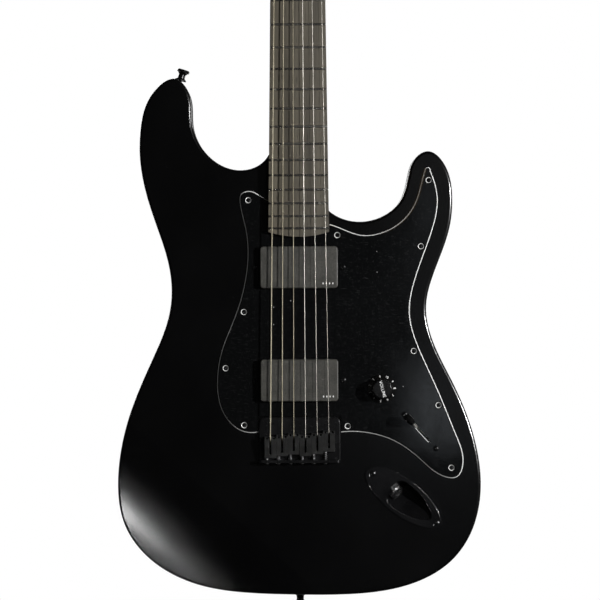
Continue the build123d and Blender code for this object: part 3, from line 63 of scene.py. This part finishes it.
class Look:
    """One procedural material, built node by node in the object's own coordinates."""

    def __init__(self, name, **values):
        self.material = bpy.data.materials.new(name)
        self.material.use_nodes = True
        self.nodes = self.material.node_tree.nodes
        self.links = self.material.node_tree.links
        self.shader = self.nodes["Principled BSDF"]
        self.place = self.nodes.new("ShaderNodeTexCoord").outputs["Object"]
        for key, value in values.items():
            self.shader.inputs[SOCKETS[key]].default_value = value

    def stretched(self, stretch):
        mapping = self.nodes.new("ShaderNodeMapping")
        mapping.inputs["Scale"].default_value = stretch
        self.links.new(self.place, mapping.inputs["Vector"])
        return mapping.outputs["Vector"]

    def noise(self, scale, detail=3.0, stretch=None, distortion=0.0):
        node = self.nodes.new("ShaderNodeTexNoise")
        node.inputs["Scale"].default_value = scale
        node.inputs["Detail"].default_value = detail
        node.inputs["Distortion"].default_value = distortion
        self.links.new(self.stretched(stretch) if stretch else self.place, node.inputs["Vector"])
        return node.outputs["Fac"]

    def cells(self, scale):
        node = self.nodes.new("ShaderNodeTexVoronoi")
        node.inputs["Scale"].default_value = scale
        self.links.new(self.place, node.inputs["Vector"])
        return node.outputs["Distance"]

    def specks(self, scale, share, size):
        """Rare round specks: a share of the cells has one, size across as a part of the cell."""
        node = self.nodes.new("ShaderNodeTexVoronoi")
        node.inputs["Scale"].default_value = scale
        self.links.new(self.place, node.inputs["Vector"])
        split = self.nodes.new("ShaderNodeSeparateColor")
        self.links.new(node.outputs["Color"], split.inputs["Color"])
        chosen = self.maths("LESS_THAN", split.outputs["Red"], share)
        disc = self.ramp(node.outputs["Distance"], (size * 0.6, 1.0), (size, 0.0))
        return self.maths("MULTIPLY", chosen, disc)

    def bands(self, scale, axis="Z"):
        node = self.nodes.new("ShaderNodeTexWave")
        node.bands_direction = axis
        node.inputs["Scale"].default_value = scale
        node.inputs["Distortion"].default_value = 0.0
        self.links.new(self.place, node.inputs["Vector"])
        return node.outputs["Fac"]

    def ramp(self, source, *stops):
        node = self.nodes.new("ShaderNodeValToRGB")
        points = node.color_ramp.elements
        while len(points) < len(stops):
            points.new(0.5)
        for point, (place, tone) in zip(points, stops):
            point.position = place
            colour = (tone,) * 3 if isinstance(tone, (int, float)) else tone
            point.color = (*colour, 1)
        self.links.new(source, node.inputs["Fac"])
        return node.outputs["Color"]

    def mix(self, amount, first, second, blend="MIX"):
        node = self.nodes.new("ShaderNodeMix")
        node.data_type = "RGBA"
        node.blend_type = blend
        for socket, value in (("Factor", amount), ("A", first), ("B", second)):
            target = next(s for s in node.inputs if s.name == socket and s.enabled)
            if isinstance(value, bpy.types.NodeSocket):
                self.links.new(value, target)
            elif isinstance(value, tuple):
                target.default_value = (*value, 1)
            else:
                target.default_value = value
        return next(s for s in node.outputs if s.enabled)

    def maths(self, operation, *values):
        node = self.nodes.new("ShaderNodeMath")
        node.operation = operation
        for target, value in zip(node.inputs, values):
            if isinstance(value, bpy.types.NodeSocket):
                self.links.new(value, target)
            else:
                target.default_value = value
        return node.outputs["Value"]

    def feed(self, socket, source):
        self.links.new(source, self.shader.inputs[socket])

    def bump(self, height, depth, normal=None):
        node = self.nodes.new("ShaderNodeBump")
        node.inputs["Distance"].default_value = depth
        node.inputs["Strength"].default_value = 1.0
        self.links.new(height, node.inputs["Height"])
        if normal:
            self.links.new(normal, node.inputs["Normal"])
        self.links.new(node.outputs["Normal"], self.shader.inputs["Normal"])
        return node.outputs["Normal"]

    def eased(self, radius):
        """Normals turned over sharp edges, as if they had been eased by radius."""
        node = self.nodes.new("ShaderNodeBevel")
        node.samples = 4
        node.inputs["Radius"].default_value = radius
        self.links.new(node.outputs["Normal"], self.shader.inputs["Normal"])
        return node.outputs["Normal"]


def satin_black_lacquer():
    look = Look("satin_black_lacquer", specular=0.5)
    cloud = look.noise(14, 4)
    peel = look.noise(900, 2)
    dust = look.specks(220, 0.05, 0.05)
    tone = look.ramp(cloud, (0.3, (0.0011, 0.0011, 0.0012)), (0.7, (0.0017, 0.0017, 0.0018)))
    look.feed("Base Color", look.mix(look.maths("MULTIPLY", dust, 0.4), tone, (0.12, 0.12, 0.12)))
    look.feed("Roughness", look.ramp(cloud, (0.25, 0.155), (0.75, 0.195)))
    look.bump(peel, 0.00001)
    return look.material


def gloss_black_ply():
    look = Look("gloss_black_ply", specular=0.5)
    cloud = look.noise(22, 5, distortion=0.6)
    hairs = look.noise(160, 6, stretch=(1, 1, 14))
    cross = look.noise(160, 6, stretch=(13, 1, 2))
    scratches = look.maths(
        "MAXIMUM",
        look.ramp(hairs, (0.60, 0.0), (0.66, 1.0)),
        look.ramp(cross, (0.62, 0.0), (0.68, 1.0)))
    dust = look.specks(130, 0.09, 0.07)
    dusty = look.mix(dust, (0.0030, 0.0032, 0.0034), (0.34, 0.34, 0.34))
    look.feed("Base Color", look.mix(look.maths("MULTIPLY", scratches, 0.02), dusty, (0.3, 0.3, 0.3)))
    gloss = look.ramp(cloud, (0.3, 0.05), (0.7, 0.11))
    look.feed("Roughness", look.mix(scratches, gloss, (0.26, 0.26, 0.26)))
    look.bump(look.noise(60, 2), 0.00002)
    return look.material


def white_ply():
    look = Look("white_ply", roughness=0.4)
    cloud = look.noise(300, 3)
    look.feed("Base Color", look.ramp(cloud, (0.3, (0.78, 0.78, 0.76)), (0.7, (0.86, 0.86, 0.85))))
    look.bump(look.noise(1500, 2), 0.00001)
    return look.material


def maple():
    look = Look("maple", roughness=0.38, coat=0.35, coat_roughness=0.22)
    grain = look.noise(70, 6, stretch=(1, 1, 0.05), distortion=0.4)
    flame = look.noise(22, 2, stretch=(0.4, 0.4, 3.2), distortion=0.8)
    pores = look.noise(900, 3, stretch=(1, 1, 0.06))
    warm = look.ramp(grain, (0.25, (0.50, 0.31, 0.145)), (0.5, (0.62, 0.42, 0.22)), (0.8, (0.70, 0.50, 0.29)))
    shimmer = look.ramp(flame, (0.35, 0.86), (0.65, 1.0))
    wood = look.mix(1.0, warm, shimmer, "MULTIPLY")
    look.feed("Base Color", look.mix(look.ramp(pores, (0.62, 0.0), (0.72, 0.35)), wood, (0.30, 0.17, 0.08)))
    look.bump(pores, 0.00003)
    return look.material


def ebony():
    look = Look("ebony", specular=0.4)
    streaks = look.noise(110, 6, stretch=(1, 1, 0.05), distortion=0.3)
    pores = look.noise(1400, 3, stretch=(1, 1, 0.05))
    wood = look.ramp(
        streaks, (0.3, (0.052, 0.045, 0.033)), (0.52, (0.086, 0.075, 0.055)), (0.75, (0.126, 0.111, 0.082)))
    look.feed("Base Color", look.mix(look.ramp(pores, (0.60, 0.0), (0.70, 0.8)), wood, (0.022, 0.018, 0.014)))
    look.feed("Roughness", look.ramp(streaks, (0.3, 0.5), (0.7, 0.62)))
    look.bump(pores, 0.00006)
    return look.material


def metal(name, tone, roughness, stretch=(1, 1, 1), brush=700, wear=None, spread=0.06, edge=None):
    """Metal with fine directional brushing, cloudy roughness and, if given, an eased edge."""
    look = Look(name, metallic=1.0)
    brushed = look.noise(brush, 4, stretch=stretch)
    cloud = look.noise(45, 4)
    dark = tuple(value * 0.82 for value in tone)
    mottled = look.maths("MULTIPLY", brushed, look.maths("ADD", cloud, 0.5))
    colour = look.ramp(mottled, (0.3, dark), (0.65, tone))
    if wear:
        spots = look.ramp(look.noise(260, 6, distortion=0.5), (0.60, 0.0), (0.66, 1.0))
        colour = look.mix(look.maths("MULTIPLY", spots, 0.5), colour, wear)
    look.feed("Base Color", colour)
    look.feed("Roughness", look.ramp(cloud, (0.3, roughness - spread / 2), (0.7, roughness + spread / 2)))
    look.bump(brushed, 0.000006, look.eased(edge) if edge else None)
    return look.material


def black_hardware():
    look = Look("black_hardware", metallic=0.55, specular=0.5)
    cloud = look.noise(60, 4)
    worn = look.ramp(look.noise(330, 6, distortion=0.4), (0.62, 0.0), (0.70, 1.0))
    tone = look.ramp(cloud, (0.3, (0.006, 0.006, 0.0065)), (0.7, (0.011, 0.011, 0.0115)))
    look.feed("Base Color", look.mix(look.maths("MULTIPLY", worn, 0.10), tone, (0.26, 0.26, 0.26)))
    look.feed("Roughness", look.ramp(cloud, (0.3, 0.22), (0.7, 0.31)))
    look.bump(look.noise(1800, 2), 0.000006, look.eased(0.00022))
    return look.material


def plated_cup():
    """Gloss black plating of the jack plate, whose pressed rims are well rounded."""
    look = Look("plated_cup", metallic=0.2, specular=0.5)
    cloud = look.noise(50, 4)
    look.feed("Base Color", look.ramp(cloud, (0.3, (0.004, 0.004, 0.0045)), (0.7, (0.008, 0.008, 0.0085))))
    look.feed("Roughness", look.ramp(cloud, (0.3, 0.12), (0.7, 0.18)))
    look.bump(look.noise(500, 2), 0.000005, look.eased(0.0009))
    return look.material


def worn_lever():
    """Satin nickel of the selector lever, dulled by handling."""
    look = Look("worn_lever", metallic=0.55)
    brushed = look.noise(1200, 4, stretch=(1, 1, 0.3))
    look.feed("Base Color", look.ramp(brushed, (0.35, (0.42, 0.41, 0.38)), (0.65, (0.72, 0.70, 0.66))))
    look.feed("Roughness", look.ramp(look.noise(300), (0.3, 0.42), (0.7, 0.55)))
    look.bump(brushed, 0.00002, look.eased(0.0003))
    return look.material


def dark_saddle():
    look = Look("dark_saddle", metallic=0.35, specular=0.5)
    cast = look.noise(1300, 3)
    cloud = look.noise(140, 4)
    look.feed("Base Color", look.ramp(cloud, (0.3, (0.016, 0.016, 0.016)), (0.7, (0.034, 0.034, 0.033))))
    look.feed("Roughness", look.ramp(cloud, (0.3, 0.36), (0.7, 0.46)))
    look.bump(cast, 0.00002, look.eased(0.0003))
    return look.material


def wound():
    look = Look("string_wound", metallic=0.7)
    turns = look.bands(950)
    tarnish = look.noise(60, 5, stretch=(1, 1, 0.3))
    wire = look.ramp(tarnish, (0.3, (0.56, 0.50, 0.36)), (0.7, (0.80, 0.73, 0.55)))
    # Painted shade: the wire's colour is darkened in the grooves between the turns, where shade falls.
    groove_shade = look.ramp(turns, (0.0, 0.45), (0.45, 1.0))
    look.feed("Base Color", look.mix(1.0, wire, groove_shade, "MULTIPLY"))
    look.feed("Roughness", look.ramp(tarnish, (0.3, 0.36), (0.7, 0.48)))
    look.bump(turns, 0.00006)
    return look.material


def moulded(name, dark, light, roughness, grain=1600, depth=0.000015, edge=0.0003):
    """Moulded plastic: mottled tone, faint grain, softly broken edges."""
    look = Look(name, specular=0.5)
    broad = look.maths("MULTIPLY", look.noise(90, 5), 0.5)
    cloud = look.maths("MULTIPLY_ADD", look.noise(650, 4), 0.5, broad)
    look.feed("Base Color", look.ramp(cloud, (0.38, dark), (0.62, light)))
    rubbed = look.noise(240, 5, stretch=(1, 1, 0.4))
    look.feed("Roughness", look.ramp(rubbed, (0.3, roughness - 0.05), (0.7, roughness + 0.05)))
    look.bump(look.noise(grain, 3), depth, look.eased(edge) if edge else None)
    return look.material


def winding_wire():
    look = Look("coil_wire", metallic=0.6)
    turns = look.bands(1500, "Y")
    # Painted shade: the copper is darkened in the grooves between the turns and keeps its full tone only on
    # their crests.
    look.feed("Base Color", look.ramp(turns, (0.2, (0.14, 0.045, 0.018)), (0.8, (0.48, 0.17, 0.06))))
    look.feed("Roughness", look.ramp(look.noise(200), (0.3, 0.3), (0.7, 0.42)))
    look.bump(turns, 0.00004)
    return look.material


def circuit_board():
    look = Look("circuit_board", specular=0.5)
    weave = look.cells(700)
    look.feed("Base Color", look.ramp(weave, (0.1, (0.012, 0.034, 0.018)), (0.7, (0.024, 0.060, 0.030))))
    look.feed("Roughness", look.ramp(look.noise(120), (0.3, 0.36), (0.7, 0.5)))
    look.bump(weave, 0.00002)
    return look.material


def battery_shell():
    look = Look("battery_shell", metallic=0.6)
    cloud = look.noise(80, 4)
    look.feed("Base Color", look.ramp(cloud, (0.3, (0.10, 0.10, 0.11)), (0.7, (0.16, 0.16, 0.17))))
    look.feed("Roughness", look.ramp(cloud, (0.3, 0.3), (0.7, 0.4)))
    look.bump(look.noise(900, 2), 0.00001, look.eased(0.0006))
    return look.material


LOOKS = {
    "satin_black_lacquer": satin_black_lacquer(),
    "gloss_black_ply": gloss_black_ply(),
    "white_ply": white_ply(),
    "maple": maple(),
    "ebony": ebony(),
    "fret_metal": metal("fret_metal", (0.72, 0.70, 0.66), 0.27, stretch=(1, 1, 6), edge=0.0001),
    "black_nut": moulded("black_nut", (0.010, 0.010, 0.010), (0.020, 0.020, 0.020), 0.35),
    "white_dot": moulded("white_dot", (0.68, 0.67, 0.63), (0.80, 0.79, 0.75), 0.35, edge=None),
    "black_hardware": black_hardware(),
    "dark_saddle": dark_saddle(),
    "spring_steel": metal("spring_steel", (0.34, 0.34, 0.35), 0.3, brush=1500),
    "string_wound": wound(),
    "string_plain": metal("string_plain", (0.68, 0.64, 0.58), 0.34, brush=900, spread=0.1),
    "pickup_plastic": moulded(
        "pickup_plastic", (0.031, 0.030, 0.026), (0.064, 0.062, 0.054), 0.42, grain=2200, edge=0.0004),
    "coil_wire": winding_wire(),
    "circuit_board": circuit_board(),
    "plated_steel": metal(
        "plated_steel", (0.74, 0.74, 0.74), 0.24, wear=(0.42, 0.40, 0.36), edge=0.00015),
    "knob_plastic": moulded(
        "knob_plastic", (0.0025, 0.0025, 0.0025), (0.004, 0.004, 0.004), 0.25, edge=0.0003),
    "battery_shell": battery_shell(),
}

OWN_LOOKS = {"jack_plate": plated_cup(), "selector_lever": worn_lever()}

for name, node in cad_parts.items():
    for place in node.material_slots:
        place.material = OWN_LOOKS.get(name) or LOOKS[place.material.name.split(".")[0]]


# ---------------------------------------------------------------- pieces


def piece(name, points, faces, body, slot_name, smooth=True):
    """A mesh object with its finish, riding on a body."""
    mesh = bpy.data.meshes.new(name)
    mesh.from_pydata([tuple(point) for point in points], [], faces)
    mesh.validate()
    mesh.polygons.foreach_set("use_smooth", [smooth] * len(mesh.polygons))
    mesh.materials.append(LOOKS[slot_name])
    made = bpy.data.objects.new(name, mesh)
    bpy.context.scene.collection.objects.link(made)
    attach(made, body)
    return made


def surface_of(node_name):
    """The node's mesh, to find a place on its surface."""
    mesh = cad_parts[node_name].data
    points = [vertex.co for vertex in mesh.vertices]
    return BVHTree.FromPolygons(points, [polygon.vertices for polygon in mesh.polygons])


def pressed(surface, x, z, lift):
    """The point over (x, z) on the front of a surface, lift above it."""
    hit = surface.ray_cast(Vector((x, -1, z)), Vector((0, 1, 0)))[0]
    return Vector((x, hit.y - lift, z))


BOLDNESS = 0.008


def lettering(text, height):
    """Points and faces of a word in a plain upright face, centred, in its own plane."""
    curve = bpy.data.curves.new("lettering", "FONT")
    curve.body = text
    curve.size = height
    curve.align_x = "CENTER"
    curve.align_y = "CENTER"
    curve.resolution_u = 3
    curve.offset = height * BOLDNESS
    holder = bpy.data.objects.new("lettering", curve)
    mesh = bpy.data.meshes.new_from_object(holder)
    points = [vertex.co.xy.copy() for vertex in mesh.vertices]
    faces = [tuple(polygon.vertices) for polygon in mesh.polygons]
    bpy.data.objects.remove(holder)
    bpy.data.curves.remove(curve)
    bpy.data.meshes.remove(mesh)
    return points, faces


PRINT_LIFT = 0.00003
DAB_SIDES = 12


def dab(width, height):
    """Points and faces of a small flat oval, centred, in its own plane."""
    angles = [2 * math.pi * step / DAB_SIDES for step in range(DAB_SIDES)]
    points = [Vector((width / 2 * math.cos(angle), height / 2 * math.sin(angle))) for angle in angles]
    return points, [tuple(range(DAB_SIDES))]


def printed(name, marks, node_name, body):
    """Flat printing laid on the front of a node: marks are (points and faces, x, z, turn)."""
    surface = surface_of(node_name)
    points, faces = [], []
    for (flat, cells), x, z, turn in marks:
        spin = Matrix.Rotation(turn, 2)
        start = len(points)
        for point in flat:
            turned = spin @ point
            points.append(pressed(surface, x + turned.x, z + turned.y, PRINT_LIFT))
        faces += [tuple(start + index for index in cell) for cell in cells]
    return piece(name, points, faces, body, "white_ply", smooth=False)


INDEX_TURN = math.radians(9.5)
NUMBER_STEP = math.radians(32.7)
NUMBER_COUNT = 10
NUMBER_RADIUS = 0.0111
NUMBER_HEIGHT = 0.0031
WORD_TURN = math.radians(-75)
WORD_HEIGHT = 0.0039
INDEX_SIZE = (0.0011, 0.0022)
MARK_SIZE = (0.0011, 0.0018)
MARK_STEP = 0.0029
MARK_COUNT = 4
MARK_INSET = (0.0132, 0.0042)
COVER_HEIGHT = 0.0374

low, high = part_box("volume_knob")
knob_x, knob_z = (low.x + high.x) / 2, (low.z + high.z) / 2
knob_marks = [(lettering("VOLUME", WORD_HEIGHT), knob_x, knob_z, WORD_TURN)]
for step in range(NUMBER_COUNT + 1):
    turn = INDEX_TURN - step * NUMBER_STEP
    x = knob_x - math.sin(turn) * NUMBER_RADIUS
    z = knob_z + math.cos(turn) * NUMBER_RADIUS
    mark = lettering(str(NUMBER_COUNT + 1 - step), NUMBER_HEIGHT) if step else dab(*INDEX_SIZE)
    knob_marks.append((mark, x, z, turn))
printed("knob_printing", knob_marks, "volume_knob", "volume_control")

low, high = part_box("pickup_covers")
cover_marks = []
for cover_low in (low.z, high.z - COVER_HEIGHT):
    for step in range(MARK_COUNT):
        x = high.x - MARK_INSET[0] + step * MARK_STEP
        cover_marks.append((dab(*MARK_SIZE), x, cover_low + MARK_INSET[1], 0))
printed("pickup_marks", cover_marks, "pickup_covers", "root")


def loop_mesh(path, radius, sides=10):
    """Points and faces of a round tube along a path, its ends closed."""
    path = [Vector(point) for point in path]
    points, faces = [], []
    for index, point in enumerate(path):
        ahead = path[min(index + 1, len(path) - 1)] - path[max(index - 1, 0)]
        side = ahead.cross(FRONT).normalized()
        up = side.cross(ahead).normalized()
        for step in range(sides):
            angle = 2 * math.pi * step / sides
            points.append(point + (side * math.cos(angle) + up * math.sin(angle)) * radius)
        if index:
            start = (index - 1) * sides
            for step in range(sides):
                after = (step + 1) % sides
                faces.append((start + step, start + after, start + sides + after, start + sides + step))
    faces.append(tuple(range(sides))[::-1])
    faces.append(tuple(len(points) - sides + step for step in range(sides)))
    return points, faces


TURN_COUNTS = (2.4, 2.6, 3.0, 3.6, 4.0, 4.4)
TURN_GAP = 1.06
TURN_STEPS = 28
TURN_START = -0.3
POST_NARROW = 0.0025
POST_GAP = 0.00004
POST_REACH = (0.006, 0.004)
TAIL_DEPTHS = (0.45, 0.9)
TAIL_RISE = 0.2


def string_turns(number):
    """The turns of one string on its tuner post, ending inside the post."""
    gauge = GAUGES[number - 1]
    low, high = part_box(f"tuner_post_{number}")
    wires = "wound_strings" if number <= WOUND_COUNT else "plain_strings"
    post_x, post_z = (low.x + high.x) / 2, (low.z + high.z) / 2
    near = [
        vertex.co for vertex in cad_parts[wires].data.vertices
        if abs(vertex.co.x - post_x) < POST_REACH[0] and abs(vertex.co.z - post_z) < POST_REACH[1]]
    start_y = (min(point.y for point in near) + max(point.y for point in near)) / 2
    radius = POST_NARROW + gauge / 2 + POST_GAP
    count = TURN_COUNTS[number - 1]
    steps = int(count * TURN_STEPS)
    path = []
    for step in range(steps + 1):
        turns = step / TURN_STEPS
        angle = 2 * math.pi * turns + TURN_START
        rise = gauge * TURN_GAP * turns
        path.append((post_x + radius * math.cos(angle), start_y - rise, post_z + radius * math.sin(angle)))
    last = Vector(path[-1])
    inward = Vector((post_x, last.y, post_z)) - last
    path += [last + inward * depth + FRONT * gauge * TAIL_RISE for depth in TAIL_DEPTHS]
    points, faces = loop_mesh(path, gauge / 2)
    slot_name = "string_wound" if number <= WOUND_COUNT else "string_plain"
    return piece(f"string_turns_{number}", points, faces, f"string_post_{number}", slot_name)


for number in range(1, len(GAUGES) + 1):
    string_turns(number)


# ---------------------------------------------------------------- stage, light and camera


OPEN_BEAM = 180


def emitter(name, place, aim, width, height, radiance, tint=(1, 1, 1), grid=OPEN_BEAM):
    """A soft box of the given radiance on its axis; a grid narrows its beam to that many degrees."""
    light = bpy.data.lights.new(name, "AREA")
    light.shape = "RECTANGLE"
    light.size = width
    light.size_y = height
    light.spread = math.radians(grid)
    # A narrow beam keeps its radiance with the share of the energy that a cone of that width takes.
    share = light.spread**2 / 12 if grid < OPEN_BEAM else 1
    light.energy = radiance * width * height * math.pi * share
    light.color = tint
    holder = bpy.data.objects.new(name, light)
    holder.location = place
    holder.rotation_mode = "QUATERNION"
    holder.rotation_quaternion = (Vector(aim) - Vector(place)).to_track_quat("-Z", "Y")
    bpy.context.scene.collection.objects.link(holder)
    return holder


CENTRE = (0, 0, 0.35)
BOUT = (-0.15, 0, 0.08)
KEY_SIZE = 0.10
BOUT_SIZE = 0.16
COOL = (0.86, 0.93, 1.0)
emitter("near_key", (0.75, -2.20, 0.50), CENTRE, KEY_SIZE, KEY_SIZE, 150)
emitter("main_key", (1.60, -1.65, 0.52), CENTRE, KEY_SIZE, KEY_SIZE, 1760)
emitter("bout_box", (-1.075, -1.88, -0.74), BOUT, BOUT_SIZE, BOUT_SIZE, 165, grid=20)
emitter("guard_card", (0.27, -2.95, 0.06), (0.1, 0, 0.17), 0.10, 0.14, 1.15, COOL)
emitter("guard_band", (0.25, -2.95, 0.30), (0.1, 0, 0.25), 0.05, 0.5, 0.33, COOL)
emitter("back_box", (-1.0, 2.2, 1.2), CENTRE, 1.4, 1.4, 6)
emitter("back_fill", (1.4, 1.8, 0.2), CENTRE, 1.0, 1.4, 4)

FRONT_DIM, BACK_DIM = 0.012, 0.12
PAPER_WHITE = (1, 1, 1, 1)


def studio_world():
    """White paper to the camera; to the object, a dim room that is darker in front than behind."""
    world = bpy.data.worlds.new("studio")
    bpy.context.scene.world = world
    world.use_nodes = True
    nodes, links = world.node_tree.nodes, world.node_tree.links
    nodes.clear()
    direction = nodes.new("ShaderNodeTexCoord").outputs["Generated"]
    parts = nodes.new("ShaderNodeSeparateXYZ")
    links.new(direction, parts.inputs["Vector"])
    shifted = nodes.new("ShaderNodeMath")
    shifted.operation = "MULTIPLY_ADD"
    shifted.inputs[1].default_value = 0.5
    shifted.inputs[2].default_value = 0.5
    links.new(parts.outputs["Y"], shifted.inputs[0])
    depth = nodes.new("ShaderNodeValToRGB")
    for end, position, tone in zip(depth.color_ramp.elements, (0.42, 0.75), (FRONT_DIM, BACK_DIM)):
        end.position = position
        end.color = (tone, tone, tone, 1)
    links.new(shifted.outputs["Value"], depth.inputs["Fac"])
    room = nodes.new("ShaderNodeBackground")
    links.new(depth.outputs["Color"], room.inputs["Color"])
    paper = nodes.new("ShaderNodeBackground")
    paper.inputs["Color"].default_value = PAPER_WHITE
    seen = nodes.new("ShaderNodeLightPath").outputs["Is Camera Ray"]
    choice = nodes.new("ShaderNodeMixShader")
    links.new(seen, choice.inputs["Fac"])
    links.new(room.outputs["Background"], choice.inputs[1])
    links.new(paper.outputs["Background"], choice.inputs[2])
    links.new(choice.outputs["Shader"], nodes.new("ShaderNodeOutputWorld").inputs["Surface"])


studio_world()

FLOOR_DROP = 0.16
FLOOR_REACH = 1.25
FLOOR_SIDES = 96
FLOOR_GLOW = 0.4
ring = [
    (FLOOR_REACH * math.cos(2 * math.pi * step / FLOOR_SIDES),
     FLOOR_REACH * math.sin(2 * math.pi * step / FLOOR_SIDES), -FLOOR_DROP)
    for step in range(FLOOR_SIDES)]
floor_mesh = bpy.data.meshes.new("floor")
floor_mesh.from_pydata(ring, [], [tuple(range(FLOOR_SIDES))])
floor_look = Look("floor_paper", roughness=0.8)
floor_look.feed("Base Color", floor_look.ramp(floor_look.noise(6, 3), (0.3, 0.78), (0.7, 0.84)))
floor_look.shader.inputs["Emission Color"].default_value = (1, 1, 1, 1)
floor_look.shader.inputs["Emission Strength"].default_value = FLOOR_GLOW
floor_mesh.materials.append(floor_look.material)
floor = bpy.data.objects.new("floor", floor_mesh)
bpy.context.scene.collection.objects.link(floor)
floor.visible_glossy = False
floor.visible_diffuse = False

camera = bpy.data.objects.new("camera", bpy.data.cameras.new("camera"))
camera.data.lens = CAMERA_LENS
camera.data.sensor_width = CAMERA_SENSOR
camera.matrix_world = (
    Matrix.Translation(CAMERA_PLACE)
    @ Matrix.Rotation(math.pi / 2, 4, "X")
    @ Matrix.Rotation(CAMERA_ROLL, 4, "Z"))
bpy.context.scene.collection.objects.link(camera)
bpy.context.scene.camera = camera
bpy.context.scene.view_settings.view_transform = "Standard"

bpy.context.view_layer.update()
